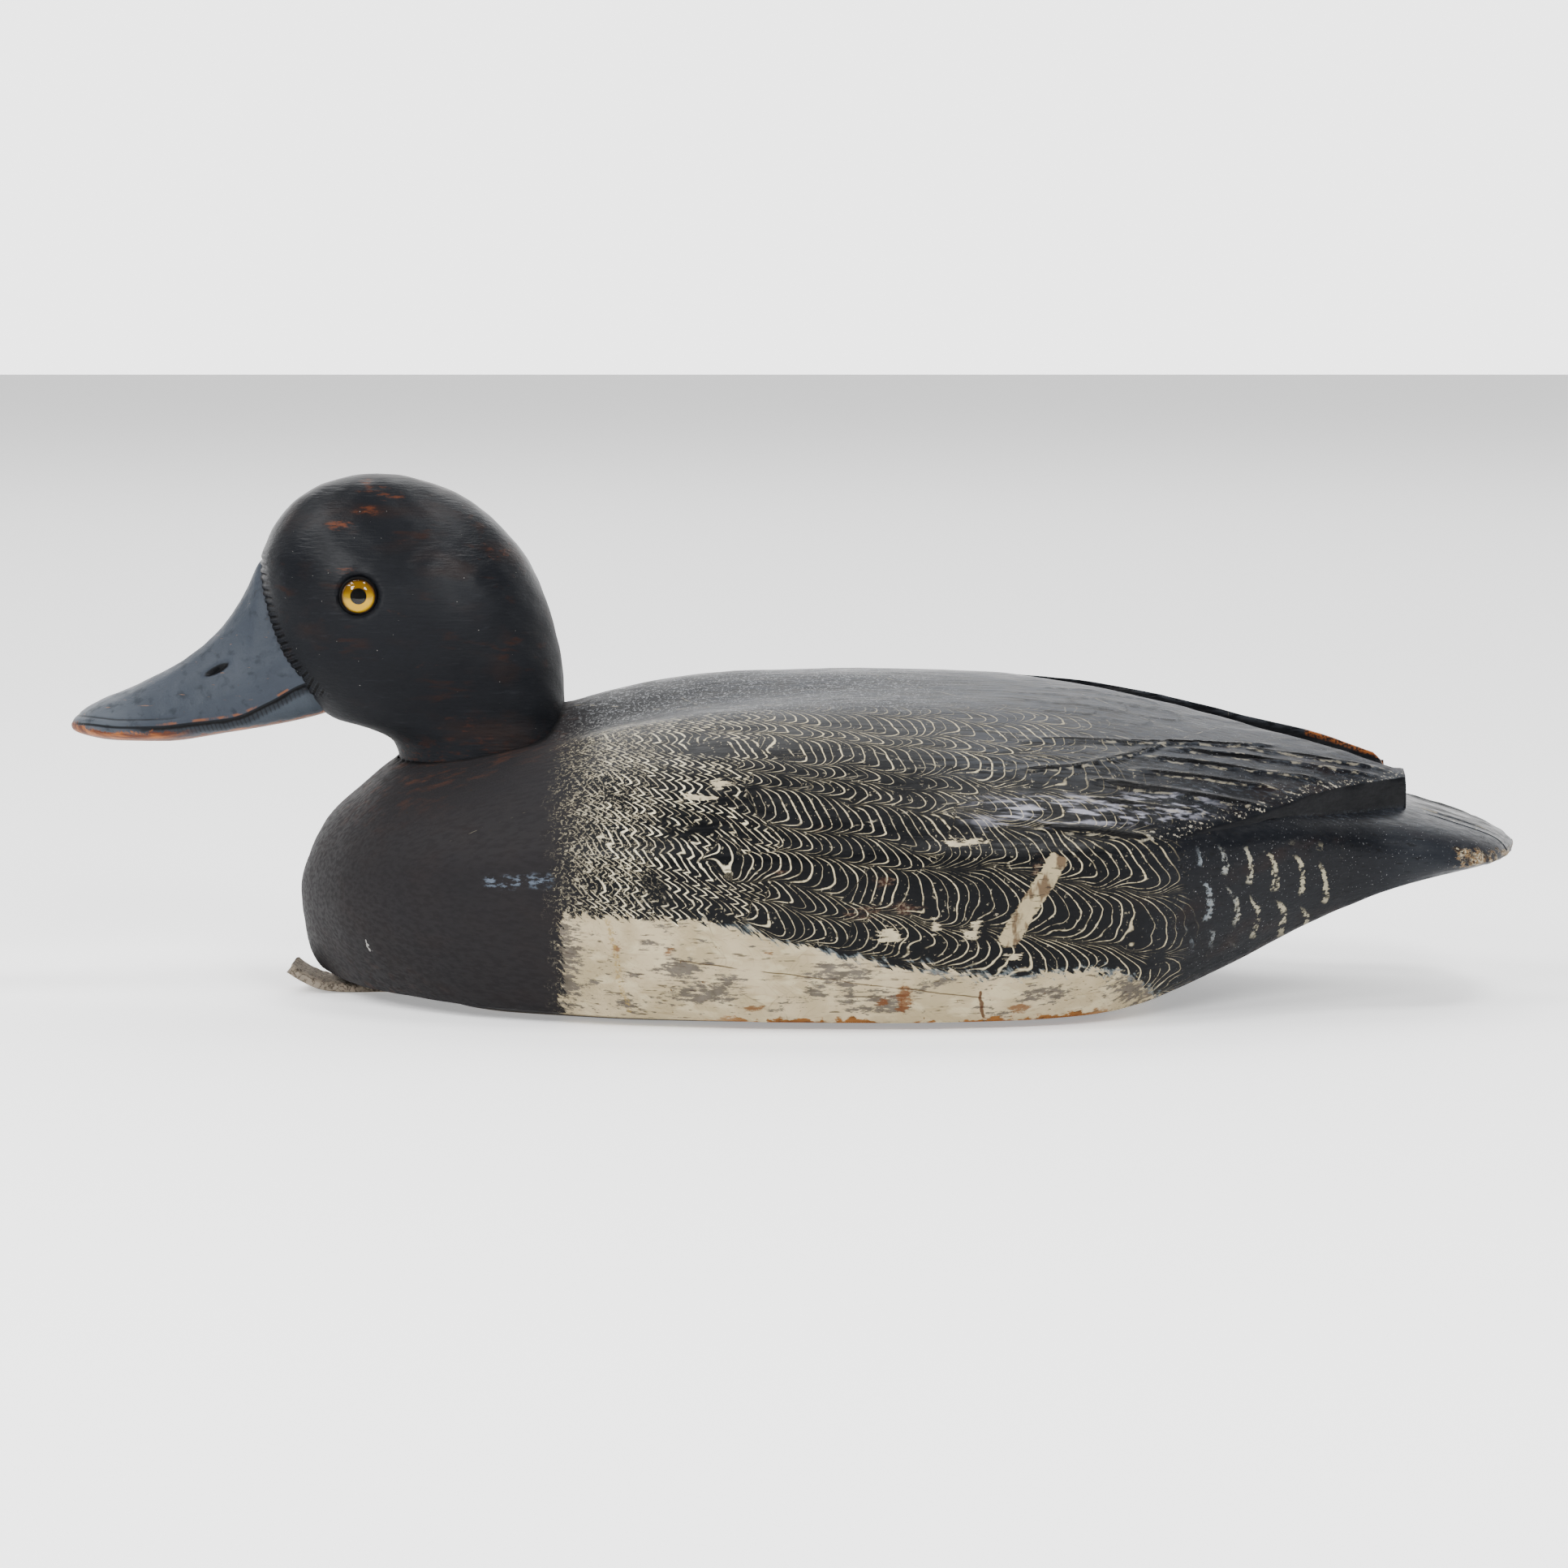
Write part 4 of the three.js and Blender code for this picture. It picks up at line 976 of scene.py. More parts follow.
class Paint(Tree):
    """A material, the nodes it is made of and its colour so far. Lengths are in millimetres."""

    def __init__(self, name):
        self.material = bpy.data.materials.new(name)
        self.material.use_nodes = True
        super().__init__(self.material.node_tree)
        self.shader = self.nodes["Principled BSDF"]
        self.place = self.scaled(self.add("TexCoord", "Object", {}), (1000, 1000, 1000))
        self.x, self.y, self.z = self.parts(self.place)
        self.colour = None

    def field(self, name):
        """One of the fields that the piece carries."""
        return self.add("Attribute", "Fac", {}, attribute_name=name)

    def noise(self, size, detail=2.0, stretch=(1, 1, 1), vector=None, rough=0.5):
        """Cloudy noise from 0 to 1 with blobs of about the given size."""
        source = self.scaled(vector or self.place, stretch)
        inputs = {"Vector": source, "Scale": 1 / size, "Detail": detail, "Roughness": rough}
        return self.add("TexNoise", "Fac", inputs)

    def rise(self, value, low, high):
        """0 below low, 1 above high, smooth between. With low above high it falls instead."""
        inputs = {"Value": value, "From Min": min(low, high), "From Max": max(low, high)}
        if low > high:
            inputs.update({"To Min": 1, "To Max": 0})
        return self.add("MapRange", "Result", inputs, interpolation_type="SMOOTHSTEP")

    def mix(self, a, b, amount):
        """Colour a where amount is 0 and colour b where it is 1."""
        a, b = (shade(value) if isinstance(value, str) else value for value in (a, b))
        return self.add("Mix", 2, {"Factor": amount, 6: a, 7: b}, data_type="RGBA", clamp_factor=True)

    def coat(self, colour, amount=1.0):
        """Lays a colour over the ones before it, or starts with it."""
        self.colour = colour if self.colour is None else self.mix(self.colour, colour, amount)

    def blend(self, a, b, amount):
        """Number a where amount is 0 and number b where it is 1."""
        return a + (b - a) * amount if isinstance(b, Wire) else a + (amount * b - amount * a)

    def segment(self, u, v, start, end):
        """Distance from (u, v) to the straight line between two places."""
        run = (end[0] - start[0], end[1] - start[1])
        length = math.hypot(*run)
        du, dv = u - start[0], v - start[1]
        along = du * (run[0] / length) + dv * (run[1] / length)
        beyond = along - self.least(self.most(along, 0), length)
        off = du * (run[1] / length) - dv * (run[0] / length)
        return (off * off + beyond * beyond) ** 0.5

    def relief(self, height, depth):
        """Bumps of the given depth in millimetres for heights of 0 to 1."""
        node = self.nodes.new("ShaderNodeBump")
        node.inputs["Strength"].default_value = 1
        node.inputs["Distance"].default_value = depth * MM
        self.put(height, node.inputs["Height"])
        self.links.new(node.outputs["Normal"], self.shader.inputs["Normal"])

    def finish(self, rough):
        """Wires the colour and the roughness to the shader and gives the material back."""
        colour = self.colour
        self.put(shade(colour) if isinstance(colour, str) else colour, self.shader.inputs["Base Color"])
        self.put(rough, self.shader.inputs["Roughness"])
        self.shader.inputs["Specular IOR Level"].default_value = SHEEN
        self.shader.inputs["IOR"].default_value = PAINT_IOR
        return self.material


def black_paint(p):
    """Old black over the wood: blue-black with brown thin places and fine rasp lines along the grain.

    Gives back the grain.
    """
    mottle = p.noise(16, 3)
    grain = p.noise(1.1, 2, (0.07, 0.7, 1.25))
    thin = p.rise(p.noise(9, 4, (0.35, 1, 1)), 0.5, 0.75)
    p.coat(p.mix("0c0d10", "131519", mottle))
    p.coat("1e1411", thin * 0.7)
    p.coat("25272b", p.rise(grain, 0.6, 0.85) * 0.4)
    return grain


def comb_arc(p, down, apex, upper, lower):
    """How far forward a combed arc sweeps at each share down its row, in line spacings, and its slope."""
    above = p.most(apex - down, 0) * (1 / apex)
    below = p.most(down - apex, 0) * (1 / (1 - apex))
    above_left, below_left = (1.02 - above * above) ** 0.5, (1.02 - below * below) ** 0.5
    swept = (1.01 - above_left) * upper + (1.01 - below_left) * lower
    slope = above / above_left * (upper / apex) + below / below_left * (lower / (1 - apex))
    return swept, slope


def comb_zigzag(p, down, apex, upper, lower):
    """The same for the short zigzags near the breast."""
    above = p.most(apex - down, 0) * (1 / apex)
    below = p.most(down - apex, 0) * (1 / (1 - apex))
    swept = above**1.5 * upper + below * lower
    slope = above**0.5 * (1.5 * upper / apex) + p.rise(below, 0, 0.1) * (lower / (1 - apex))
    return swept, slope


def combing(p, blot, speck, cloud):
    """Pale lines drawn through the black with a comb: 1 on a line, and how boldly it is drawn."""
    x, girth, row = p.x, p.field("girth"), p.field("row")
    wobble = p.noise(17, 1) - 0.5
    sway = p.noise(7, 1, (0.5, 1, 1)) - 0.5
    shiver = p.noise(1.6, 2) - 0.5
    uneven = p.noise(1.3, 0, vector=p.vector(row, 0.0, 0.0)) - 0.5
    bent = row + wobble * 1.3 + sway * 0.5 + uneven * 1.2
    chunk = p.dice(p.whole(bent)) - 0.5
    front = p.rise(x + wobble * 26 + chunk * 18 + sway * 12, -10, -10.5)
    far = p.rise(x - girth + wobble * 26 + chunk * 18, 27, 27.5)
    scale = p.blend(p.blend(1.0, 2.2, front), 0.6, far)
    lane = bent * scale + front * 0.35
    index, down = p.whole(lane), p.fraction(lane)
    chance = p.dice(index + front * 17 + far * 5)
    arc, arc_slope = comb_arc(p, down, 0.6, 2.5, 3.1)
    zigzag, zigzag_slope = comb_zigzag(p, down, 0.76, 1.3, 0.6)
    swept = p.blend(arc * (1 + far * 0.7), zigzag, front)
    slope = p.blend(arc_slope * (1 + far * 0.7), zigzag_slope, front)
    start = p.blend(chance * 9, index * -0.7 + chance * 0.3, front)
    drawn = p.field("phase") + swept + start + wobble * 2.6 + sway * 1.1 + shiver * p.blend(0.16, 0.45, front)
    pace = p.field("pace")
    steep = slope * scale * 0.145
    density = (pace * pace + steep * steep) ** 0.5
    bold = p.dice(p.whole(drawn) * 1.7 + index * 7)
    half = p.blend(0.145, 0.215, front) * (0.45 + bold * 0.9) * (pace / density) ** 0.7
    half = half + (blot - 0.5) * p.blend(0.2, 0.36, front) + (speck - 0.5) * 0.12
    line = p.rise(abs(p.fraction(drawn) - 0.5) / density - half, 0.07, -0.07)
    line = line * (0.1 + p.rise(density, 2.6, 1.2) * 0.9)
    broken = p.rise(speck + blot * 0.6 + cloud * 0.25 - front * 0.03, 0.68, 0.76)
    gaps = p.rise(cloud + p.dice(index + 31) * 0.14, 0.41, 0.49)
    starts = p.rise(x + blot * 14 - girth * 0.05, -50, -34)
    ends = p.rise(x + girth * 0.25 + cloud * 26, 108, 98)
    top = p.rise(girth + blot * 10, 64, 54)
    on_wing = p.rise(x + cloud * 30, 66, 96) * p.rise(girth, 9, 13)
    return line * broken * gaps * starts * ends * top * (1 - on_wing * 0.8), bold


def carved_lines(p, across, lines, wobble):
    """Millimetres outside the nearest of the lines carved along the body, negative inside one."""
    nearest = 9.0
    for width, path in lines:
        middle, reach = (path[0, 0] + path[-1, 0]) / 2, (path[-1, 0] - path[0, 0]) / 2
        a, b, c = (float(value) for value in np.polyfit((path[:, 0] - middle) / reach, path[:, 1], 2))
        along = p.x * (1 / reach) - middle / reach
        off = abs(across - ((along * a + b) * along + c) + wobble)
        nearest = p.least(nearest, off + p.rise(abs(along), 0.6, 1.04) * width - width * 0.42)
    return nearest


def flank_paint(p, blot, speck, cloud, streak):
    """Old cream paint, yellowed and rubbed, with dirt in streaks."""
    x, z = p.x, p.z
    colour = p.mix("ab9d80", "978a6c", p.rise(cloud, 0.35, 0.65))
    colour = p.mix(colour, "b5a98a", p.rise(p.noise(3.4, 3, (0.5, 1, 1)), 0.52, 0.66) * 0.6)
    colour = p.mix(colour, "7d6e52", p.rise(streak, 0.56, 0.74) * 0.5)
    grime = p.noise(0.9, 5, (0.3, 1, 1), rough=0.75) - 0.5
    rubbed = p.rise(p.noise(5, 5, (0.35, 1, 1), rough=0.7), 0.53, 0.64) * 0.6
    ends = p.rise(x + blot * 8, -46, -54) + p.rise(x - blot * 10, 70, 84)
    dirt = p.most(p.field("smudge"), p.most(rubbed, ends * 0.55))
    smudge = p.rise(dirt * 0.9 + grime * 3.4 + (streak - 0.5) * 2.2, 0.32, 0.78) * p.rise(dirt, 0.02, 0.25)
    colour = p.mix(colour, p.mix("1e1c1c", "625c56", blot), smudge * 0.9)
    scratch = p.rise(p.noise(0.8, 3, (0.1, 1, 1.3)), 0.61, 0.67) * p.rise(blot, 0.4, 0.54)
    colour = p.mix(colour, "372f29", scratch * 0.8)
    fly = p.rise(p.noise(1.1, 1), 0.75, 0.79)
    colour = p.mix(colour, "4d3320", fly * 0.8)
    stain = p.field("stain")
    stained = p.rise(stain + grime * 2, 0.45, 0.75) * p.rise(stain, 0.04, 0.3)
    colour = p.mix(colour, "5c3415", stained * 0.8)
    bend = (p.noise(8, 3) - 0.5) * 3
    drip = p.segment(x + bend, z, (-44.6, 27.5), (-40.2, 4.5))
    colour = p.mix(colour, "8a7340", p.rise(drip, 1.0, 0.3) * p.rise(speck, 0.4, 0.6) * 0.6)
    hair = p.segment(x, z + bend * 0.4, (-27.2, 18), (46.9, 8.4))
    colour = p.mix(colour, "3a2c1e", p.rise(hair, 0.22, 0.08) * p.rise(cloud, 0.36, 0.46) * 0.85)
    crack = p.segment(x + bend * 0.7 + (blot - 0.5) * 1.6, z, (46.2, 9.8), (47, 3.4))
    return p.mix(colour, "3d1f0c", p.rise(crack, 0.55, 0.25) * 0.9)


def body_paint():
    """The body's paint, from the black ground up to the last wear."""
    p = Paint("old_body_paint")
    girth, scales, seam = (p.field(name) for name in ("girth", "scales", "seam"))
    x, z = p.x, p.z
    grain = black_paint(p)
    speck = p.noise(0.75, 2)
    blot = p.noise(2.6, 3)
    cloud = p.noise(11, 3)
    streak = p.noise(1.0, 3, (0.12, 1, 1))

    # The wings and rump carry a colder black than the breast, with a painted sheen over the top of the back and
    # over the tail
    p.coat(p.mix("1a191b", "211e1e", cloud), p.rise(x, -40, -60) * 0.8)
    p.coat("040507", p.rise(x, -60, -44) * p.rise(x + blot * 20, 110, 80) * 0.92)
    # Painted sheen: grey streaks over the top of the back
    painted_top_sheen = p.rise(girth, 40, 66) * p.rise(x, -60, 10) * p.rise(x, 150, 110)
    p.coat("3a3d43", painted_top_sheen * p.rise(streak, 0.42, 0.6) * 0.55)
    # Painted sheen: a lighter grey over the tail
    p.coat("22252a", p.rise(x + blot * 10, 146, 164) * 0.6)
    combed, bold = combing(p, blot, speck, cloud)
    cream = p.mix("7d7663", "c0b391", bold * 0.7 + blot * 0.5)
    cream = p.mix(cream, "e2d8ba", p.rise(x + blot * 30, 20, -20) * bold)
    dimmed = p.rise(girth, 34, 60) * 0.15 + p.rise(girth, 24, 44) * p.rise(x, 0, -40) * 0.3
    p.coat(cream, combed * (0.95 - dimmed))
    crumbs = p.rise(speck + blot * 0.5, 0.93, 0.99) * p.rise(x + blot * 20, -34, -10) * p.rise(x, 110, 70)
    crumbs = crumbs * p.rise(girth + blot * 16, 66, 50)
    p.coat("a89f88", crumbs * 0.45)
    rubs = p.rise(streak * 0.7 + blot * 0.3, 0.58, 0.63) * p.rise(x, -44, -20)
    p.coat("0a0b0d", rubs * 0.75)

    # Fine broken marks where the combing starts at the breast, and over the top of the back
    squiggle = abs(p.noise(1.15, 2, (0.75, 1, 1), rough=0.6) - 0.5)
    marks = p.rise(squiggle, 0.04, 0.018) * p.rise(speck, 0.45, 0.53)
    shoulder = p.rise(x + blot * 10, -56, -46) * p.rise(x + blot * 14, -22, -36) * p.rise(girth, 70, 45)
    p.coat("b3a98f", marks * shoulder * 0.6)
    ridge = p.rise(girth + blot * 8, 52, 64) * p.rise(x, -66, -40) * p.rise(x, 60, 20)
    p.coat("85878a", marks * ridge * 0.5)

    # Feather outlines on top of the wings darkened with painted shade, streaks of painted highlight and sheen, and
    # carved lines darkened with painted shade and edged with a painted highlight
    # Painted shade: near-black in the carved feather outlines
    p.coat("050607", p.rise(scales, 0.75, 0.25) * 0.85)
    # Painted highlight: pale lavender streaks along the side of the wings
    painted_wing_highlight = p.rise(p.noise(1.3, 4, (0.13, 1, 1)), 0.48, 0.64) * p.rise(abs(girth - 13.4), 6.4, 2.4)
    painted_wing_highlight = painted_wing_highlight * p.rise(x + blot * 10, 44, 60) * p.rise(x, 110, 94)
    p.coat("92929d", painted_wing_highlight * 0.75)
    # Painted sheen: grey streaks over the tops of the wings
    sheen = p.rise(streak, 0.42, 0.58) * p.rise(girth + blot * 6, 20, 34) * p.rise(x + cloud * 20, 30, 64)
    p.coat("43464c", sheen * 0.4)
    barbs = p.rise(p.noise(0.7, 3, (0.22, 1, 1), rough=0.6), 0.5, 0.68) * p.rise(x, 76, 96)
    p.coat("2c3036", barbs * p.rise(girth, 8, 14) * 0.8)
    flecks = p.rise(speck * 0.6 + streak * 0.4, 0.56, 0.62)
    p.coat("9a9485", flecks * p.rise(p.field("wing_rim") + blot * 3, 5.4, 2.4) * 0.75)
    wing_lines = [(width, on_wing(smooth_path(path))) for width, _, path in WING_LINES]
    tail_lines = [(width * 0.6, smooth_path(path)) for width, _, path in TAIL_LINES]
    wander = (blot - 0.5) * 0.9 + (cloud - 0.5) * 1.6
    wing_gap = carved_lines(p, girth, wing_lines, wander) + p.rise(p.field("carved_wing"), 0.9, 0.6) * 9
    tail_gap = carved_lines(p, abs(p.y), tail_lines, wander) + p.rise(p.field("carved_tail"), 0.9, 0.6) * 9
    gap = p.least(wing_gap, tail_gap)
    # Painted highlight along the edges of each carved line
    lit = p.rise(abs(gap - 0.45), 0.4, 0.15) * p.rise(streak * 0.5 + blot * 0.5, 0.5, 0.58)
    p.coat("8f8876", lit * 0.5)
    # Painted shade: near-black in the carved lines
    groove_shade = p.rise(gap, 0.16, -0.06)
    p.coat("020203", groove_shade * 0.96)

    # Broken pale tips of the rump feathers
    warp = p.noise(12, 1) - 0.5
    tip_row = z * 0.078 + x * 0.03 + warp * 0.5
    index, down = p.whole(tip_row), 1 - p.fraction(tip_row)
    arc, _ = comb_arc(p, down, 0.66, 1.0, 0.3)
    tip_line = abs(p.fraction(x * 0.15 + arc + index * 0.42 + warp * 0.6) - 0.5)
    dabs = p.noise(0.9, 3, (0.8, 1, 1), rough=0.65)
    tips = p.rise(tip_line - (dabs - 0.5) * 0.4, 0.12, 0.05) * p.rise(down, 0.1, 0.26) * p.rise(down, 0.94, 0.84)
    tips = tips * p.rise(blot * 0.6 + dabs * 0.4, 0.44, 0.52) * p.rise(girth, 2, -2)
    rear = p.rise(x + (blot - 0.5) * 8, 96, 102) * p.rise(x, 138, 132)
    rear = rear * p.rise(z, 17, 23) * p.rise(z + x * 0.1, 58, 54)
    p.coat(p.mix("6b7277", "9d967e", p.rise(x + (speck - 0.5) * 20, 100, 118)), tips * rear * 0.85)
    grazed = p.rise(p.noise(0.42, 1), 0.7, 0.76) * p.rise(x, 84, 92) * p.rise(cloud, 0.35, 0.55)
    p.coat("77787a", grazed * 0.7)

    # The cream flank with its brushed upper edge
    slanted = p.vector(x + z * 0.9, p.y, z * 0.22)
    feathered = (p.noise(1.3, 3, vector=slanted) - 0.5) * 9 + (blot - 0.5) * 3
    band = p.field("band")
    flank = p.rise(band + feathered * p.rise(band, 9, 4), -0.2, 0.5)
    p.coat(flank_paint(p, blot, speck, cloud, streak), flank)
    fringe = p.rise(abs(band + feathered), 1.4, 0.2) * p.rise(x, -30, 0) * p.rise(streak, 0.4, 0.6)
    p.coat("7f8a8e", fringe * 0.35)

    # Chips, rubbed places and the long bare patch
    torn = p.noise(1.0, 4, (0.25, 1, 1), rough=0.68) - 0.5
    chip_place = p.field("chip")
    chip = p.rise(chip_place * 0.9 + torn * 3.2, 0.55, 0.75) * p.rise(chip_place, 0.04, 0.3)
    p.coat(p.mix("cabd9c", "8b8069", blot), chip * 0.9)
    brown_place = p.field("brown")
    brown = p.rise(brown_place * 0.8 + torn * 2.8, 0.5, 0.9) * p.rise(brown_place, 0.04, 0.3)
    p.coat(p.mix("2f1a12", "5f5143", p.rise(speck, 0.45, 0.6)), brown * 0.7)
    patch = p.rise(p.field("patch") + torn * 2.2 + (blot - 0.5), -0.1, 0.2)
    weathered = p.noise(2.2, 4, (1, 1, 0.35))
    patch_colour = p.mix(p.mix("a99b78", "80755f", blot), "5a4a38", p.rise(weathered, 0.48, 0.62))
    p.coat(p.mix(patch_colour, "1a1816", p.rise(torn, 0.05, 0.16) * 0.75), patch)

    # Bare wood along the bottom edge, at the tail's rim and on the worn wing tip
    wood = p.mix("4a2c15", "8a5c30", p.noise(0.9, 3, (0.1, 1, 1)))
    bottom = p.rise(z + (cloud - 0.5) * 8 + (blot - 0.5) * 4 + torn * 3, 3.0, 2.4)
    bottom = bottom * p.rise(x, -30, -8) * p.rise(x, 92, 70)
    p.coat(p.mix(wood, "1f1710", p.rise(torn, 0.06, 0.14) * 0.7), bottom)
    under = p.rise(z, 1.6, 0.4)
    p.coat(p.mix("2c2824", "574a3a", p.rise(streak + blot * 0.3, 0.55, 0.8)), under)
    rim = p.rise(p.field("rim") + (blot - 0.5) * 1.0 + torn * 1.6, 0.9, 1.12)
    rim_colour = p.mix(p.mix("7a6346", "a79c84", p.rise(speck, 0.48, 0.58)), "221c17", p.rise(torn, 0.03, 0.1))
    p.coat(rim_colour, rim * 0.85)
    tip = p.rise(p.field("worn") + (blot - 0.5) * 0.6, 0.35, 0.6)
    p.coat(p.mix("8a4f26", "33211a", p.rise(speck, 0.45, 0.6)), tip)

    # Rubbed brown round the neck joint, a dark line along it, a few knocks, and plain dark faces under the wings
    rubbed = p.rise(p.noise(3.0, 5, (0.35, 1, 1), rough=0.65), 0.5, 0.7)
    neck_wear = p.rise(seam, 24, 3) * rubbed * p.rise(x, -50, -62)
    p.coat(p.mix("33211a", "4a2c1d", speck), neck_wear * 0.6)
    p.coat("070708", p.rise(abs(seam), 1.1, 0.2) * 0.9)
    near = p.rise(p.y, 0, -4)
    scratch = p.segment(x + (blot - 0.5) * 4, z, (-106.4, 18.4), (-105.2, 15.6))
    p.coat("9c9a96", p.rise(scratch, 0.3, 0.12) * near * 0.8)
    scuff = p.segment(x, z + (blot - 0.5) * 3, (-74, 36.2), (-59.5, 37))
    p.coat("5f6a78", p.rise(scuff, 2.2, 0.4) * p.rise(torn, 0.0, 0.1) * near * 0.6)
    p.coat(p.mix("08090b", "121316", grain), p.field("plain"))

    rough = 0.26 + cloud * 0.12 + p.rise(streak, 0.4, 0.65) * 0.16 + p.rise(x, -44, -60) * 0.3
    rough = rough + flank * 0.18 + p.most(patch, bottom) * 0.2 + rim * 0.2
    height = grain * 0.5 + speck * 0.25 + (combed + marks * shoulder) * 0.35 - p.rise(scales, 0.7, 0.1) * 0.8
    height = height - groove_shade * 1.6 - chip * 0.5 - patch * 0.6 + flank * streak * 0.35
    height = height + streak * p.rise(girth, 30, 55) * p.rise(x, -50, 0) * 0.9
    p.relief(height, 0.16)
    return p.finish(rough)


def head_paint():
    """The head's black with its red-brown places, the cuts along the face darkened with painted shade and edged
    with painted highlights, and dust.
    """
    p = Paint("old_head_paint")
    grain = black_paint(p)
    z = p.z
    torn = p.noise(1.3, 4, (0.3, 0.6, 1), rough=0.65) - 0.5
    rust_place = p.field("rust")
    rust = p.rise(rust_place * 0.9 + torn * 3.0, 0.45, 1.1) * p.rise(rust_place, 0.02, 0.4)
    p.coat(p.mix("221712", "522a17", rust_place), rust * 0.85)
    thin = p.rise(p.noise(2.2, 4, (0.2, 0.6, 1)), 0.56, 0.7) * p.rise(p.noise(14, 2), 0.45, 0.65)
    p.coat("24140e", thin * 0.7)
    p.coat("2e180f", p.rise(z, 70, 62) * p.rise(torn, 0.0, 0.14) * 0.7)
    edge = p.field("edge")
    between = abs(p.fraction(p.field("travel") * (1 / NOTCH_STEP)) - 0.5) * NOTCH_STEP
    reach = p.rise(edge, -0.3, 0.2) * p.rise(edge, NOTCH_LENGTH + 0.5, NOTCH_LENGTH - 0.6)
    notch = p.rise(between, 0.38, 0.22) * reach
    # Painted highlight: a lighter grey just beside each cut along the face
    p.coat("24262a", p.rise(abs(between - 0.55), 0.14, 0.05) * reach * 0.5)
    # Painted shade: near-black in the cuts along the face
    p.coat("020203", notch)
    dust = p.rise(p.noise(0.45, 0), 0.89, 0.9)
    p.coat("8a8883", dust * 0.7)
    rasp = p.noise(0.66, 2, (0.12, 0.35, 1.1), rough=0.6)
    p.relief(grain * 0.5 + rasp * 1.2 + p.noise(0.5, 1) * 0.3, 0.11)
    return p.finish(0.3 + p.noise(10, 3) * 0.16 + p.rise(z, 112, 90) * 0.24)


def bill_paint():
    """The blue-grey bill, chipped at its tip and along its lower edge, with a painted sheen near its tip and a
    painted shadow under the upper bill's edge.
    """
    p = Paint("old_bill_paint")
    x, above, under = p.x, p.field("above"), p.field("under")
    blot, speck = p.noise(2.8, 4), p.noise(0.7, 2)
    p.coat(p.mix("2a2f36", "383d45", p.noise(12, 3)))
    # Painted sheen: lighter near the tip
    p.coat("4e5359", p.rise(x, -160, -182) * 0.6)
    p.coat("1d2228", p.rise(blot, 0.52, 0.72) * 0.6)
    scratch = p.rise(p.noise(1.1, 3, (0.25, 0.6, 1.6)), 0.68, 0.74)
    p.coat("6e5546", scratch * 0.6)
    p.coat("39332f", p.rise(p.noise(0.9, 2), 0.72, 0.76) * 0.6)
    chipped = (blot - 0.5) * 4 + (speck - 0.5) * 1.2
    tip = p.rise(under + chipped, 3.4, 2.4) * p.rise(x, -150, -162)
    lower = p.rise(under + (blot - 0.5) * 1.6, 1.3, 0.8) * p.rise(x, -112, -114)
    lower_bill = p.field("lower")
    # Painted shadow: near-black just under the upper bill's edge
    gap = p.rise(above + (blot - 0.5) * 0.9, -1.0, -0.4) * lower_bill
    teeth = abs(p.fraction(x * 0.95 + above * 0.3 + blot * 0.4) - 0.5)
    cuts = p.rise(teeth, 0.24, 0.1) * p.rise(above + blot, -2.6, -1.6)
    cuts = cuts * p.rise(x, -160, -150) * p.rise(x, -120, -128)
    # The lower bill's own blue-grey, darkened by painted shade just under the upper bill and lighter further down
    p.coat(p.mix("24282d", "3a4047", p.rise(above + blot, -1.2, -2.6)), lower_bill * 0.8)
    p.coat("15171a", cuts * lower_bill * 0.6)
    p.coat("060607", gap * 0.95)
    wood = p.mix("4e2613", "8a532c", p.rise(p.noise(1.3, 3, (0.2, 1, 1)), 0.4, 0.7))
    p.coat(wood, p.least(p.most(tip, lower), 1))
    seam = p.rise(abs(above - 0.2), 0.5, 0.15) * p.rise(x, -184, -182)
    p.coat("0b0c0e", seam * 0.9)
    worn_lip = p.rise(abs(above - 0.9), 0.5, 0.1) * p.rise(x, -166, -156)
    worn_lip = worn_lip * p.rise(blot, 0.46, 0.6) * (1 - lower_bill)
    p.coat("7a4a2c", worn_lip * 0.6)
    p.coat("0c0c0d", p.rise(p.field("slit"), 0.12, 0.4) * 0.92)
    p.coat("1d1f22", p.rise(p.field("lip"), 0.3, 0.9) * 0.85)
    p.relief(blot * 0.5 + speck * 0.35 - scratch * 0.5, 0.18)
    return p.finish(0.36 + blot * 0.18)


def lens_glass():
    """Clear glass, by plain values."""
    p = Paint("eye_lens_glass")
    p.shader.inputs["Transmission Weight"].default_value = 1
    p.shader.inputs["IOR"].default_value = 1.33
    p.shader.inputs["Roughness"].default_value = 0.02
    p.shader.inputs["Base Color"].default_value = (1, 1, 1, 1)
    return p.material


def iris_paint():
    """Yellow enamel with a painted reflection that darkens its upper half and lightens its lower half, with a black
    pupil and a black collar.
    """
    p = Paint("eye_iris_enamel")
    far, lift = p.field("eye_radius"), p.field("eye_lift")
    # Painted reflection: the upper half darker amber, the lower half lighter yellow
    p.coat(p.mix("7a5600", "a88200", p.rise(lift, 1.4, -0.2)))
    p.coat("d4a600", p.rise(lift, -0.3, -1.2) * 0.9)
    p.coat("341800", p.rise(far, 3.2, 3.95))
    p.coat("020101", p.rise(far, 4.0, 4.25))
    p.coat("010101", p.rise(far, 1.98, 1.88))
    p.relief(p.noise(1.5, 1), 0.004)
    return p.finish(0.6 + p.noise(2, 1) * 0.1)


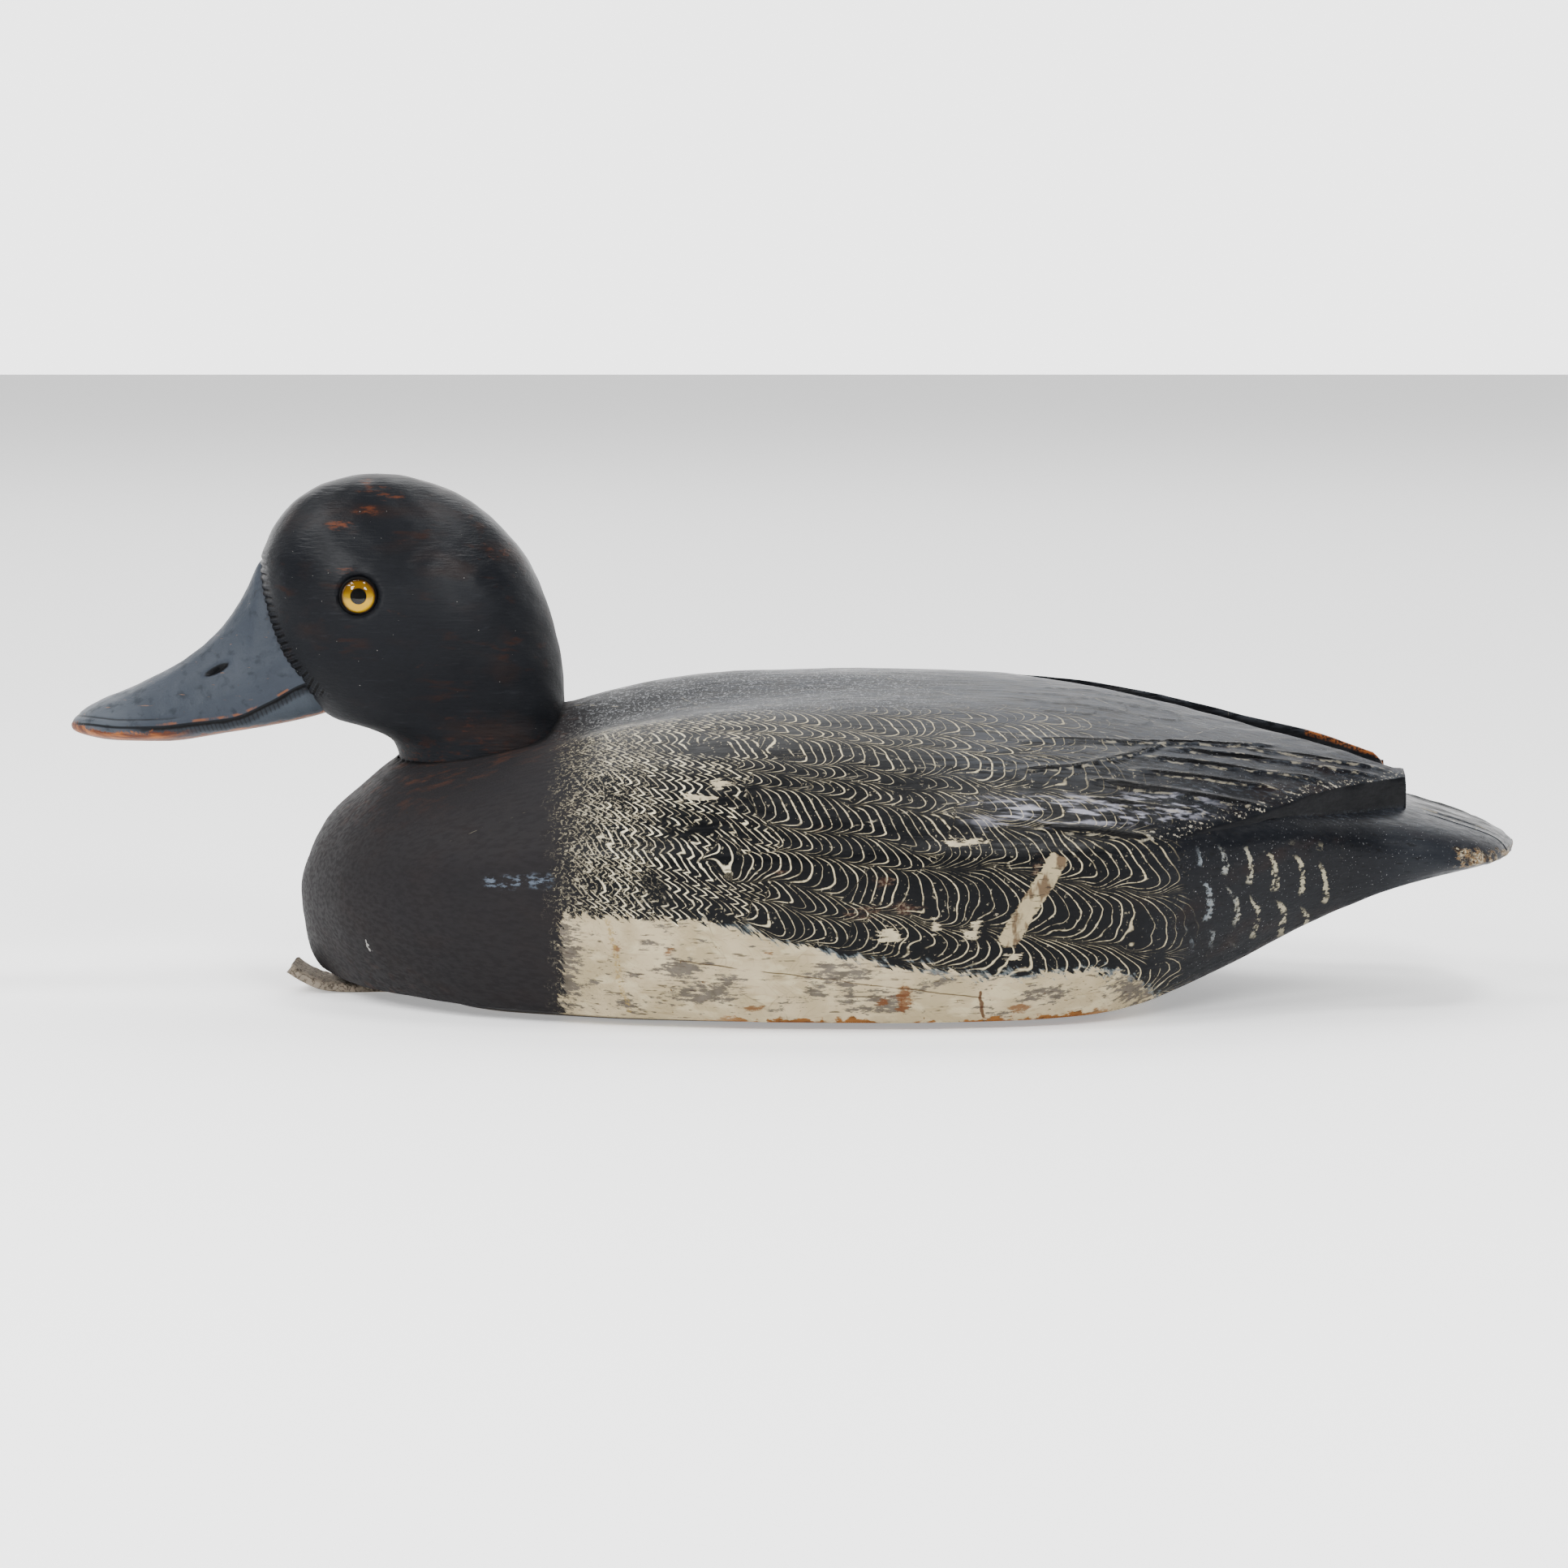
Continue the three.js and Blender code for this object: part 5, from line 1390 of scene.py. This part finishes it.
def old_leather():
    """Dry, cracked leather."""
    p = Paint("old_leather")
    cracks = p.rise(abs(p.noise(1.5, 3) - 0.5), 0.05, 0.0)
    p.coat(p.mix("6f665a", "94897a", p.noise(3, 4)))
    p.coat("4a3f35", p.rise(p.noise(1.2, 3), 0.55, 0.75) * 0.7)
    p.coat("2e2822", cracks * 0.7)
    p.relief(p.noise(0.6, 3) * 0.6 - cracks * 0.6, 0.25)
    return p.finish(0.78 + p.noise(2, 1) * 0.1)


# ---------------------------------------------------------------- building


body_material, head_material, bill_material = body_paint(), head_paint(), bill_paint()
glass, iris, leather = lens_glass(), iris_paint(), old_leather()
pieces = [
    (build_body(body_material), "body", "body_paint"),
    (build_head(head_material), "head", "head_paint"),
    (build_upper_bill(bill_material), "head", "head_paint"),
    (build_lower_bill(bill_material), "head", "head_paint"),
    (build_tie(leather), "line_tie", "tie_leather"),
]
for side, word in ((-1, "left"), (1, "right")):
    for made in build_eye(side, word, glass, iris):
        pieces.append((made, f"eye_{word}", "eye_glass"))
for made, node, slot in pieces:
    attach(made, "root")
    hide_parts(node)

# ---------------------------------------------------------------- setting

PAPER_GLOW = 0.4
paper = Paint("pale_paper")
paper.relief(paper.noise(3, 2), 0.02)
paper.coat("f4f4f4")
paper.finish(0.75)
paper.shader.inputs["Emission Color"].default_value = (1, 1, 1, 1)
paper.shader.inputs["Emission Strength"].default_value = PAPER_GLOW
floor_mesh = bpy.data.meshes.new("floor")
near_edge, reach = -0.62, 6.0
corners = [(-reach, near_edge, 0), (reach, near_edge, 0), (reach, reach, 0), (-reach, reach, 0)]
floor_mesh.from_pydata(corners, [], [(0, 1, 2, 3)])
floor_mesh.materials.append(paper.material)
floor = bpy.data.objects.new("floor", floor_mesh)
bpy.context.collection.objects.link(floor)

# A bright backdrop behind the decoy, dim everywhere else
BACKDROP, AMBIENT = 3.4, 0.07
world = bpy.data.worlds.new("studio")
bpy.context.scene.world = world
world.use_nodes = True
sky = Tree(world.node_tree)
_, ahead, upwards = sky.parts(sky.add("TexCoord", "Generated", {}))
behind, low_down = (
    sky.add("MapRange", "Result", {"Value": value, "From Min": low, "From Max": high})
    for value, low, high in ((ahead, -0.15, 0.55), (upwards, 0.84, 0.42))
)
background = sky.nodes["Background"]
sky.put(sky.math("MULTIPLY_ADD", behind * low_down, BACKDROP, AMBIENT), background.inputs["Strength"])
background.inputs["Color"].default_value = (1, 1, 1, 1)


def softbox(name, place, target, size, power_watts):
    """A rectangular light at a place, turned to a target."""
    light = bpy.data.lights.new(name, "AREA")
    light.shape = "RECTANGLE"
    light.size, light.size_y = size
    light.energy = power_watts
    made = bpy.data.objects.new(name, light)
    made.location = place
    aim = Vector(target) - Vector(place)
    made.rotation_euler = aim.to_track_quat("-Z", "Y").to_euler()
    bpy.context.collection.objects.link(made)


softbox("ceiling_softbox", (0, 1.5, 2.2), (0, 0.9, 0), (2.5, 1.5), 62)
softbox("left_softbox", (-0.62, -0.9, 0.66), (-0.05, 0, 0.06), (0.24, 0.32), 10)
softbox("right_softbox", (0.36, -0.92, 0.68), (-0.05, 0, 0.05), (0.24, 0.32), 10)
softbox("high_softbox", (0.34, -0.2, 1.2), (-0.05, 0, 0.08), (0.4, 0.3), 9.5)
softbox("side_softbox", (-0.82, -0.3, 1.05), (-0.08, 0, 0.08), (0.45, 0.45), 11)

camera_data = bpy.data.cameras.new("camera")
camera_data.sensor_width, camera_data.lens = 36, 107.7
camera = bpy.data.objects.new("camera", camera_data)
camera.location = (-0.0019, -1.2, 0.19)
camera.rotation_euler = (math.radians(83.5), 0, 0)  # 6.5 degrees below level
bpy.context.collection.objects.link(camera)
bpy.context.scene.camera = camera
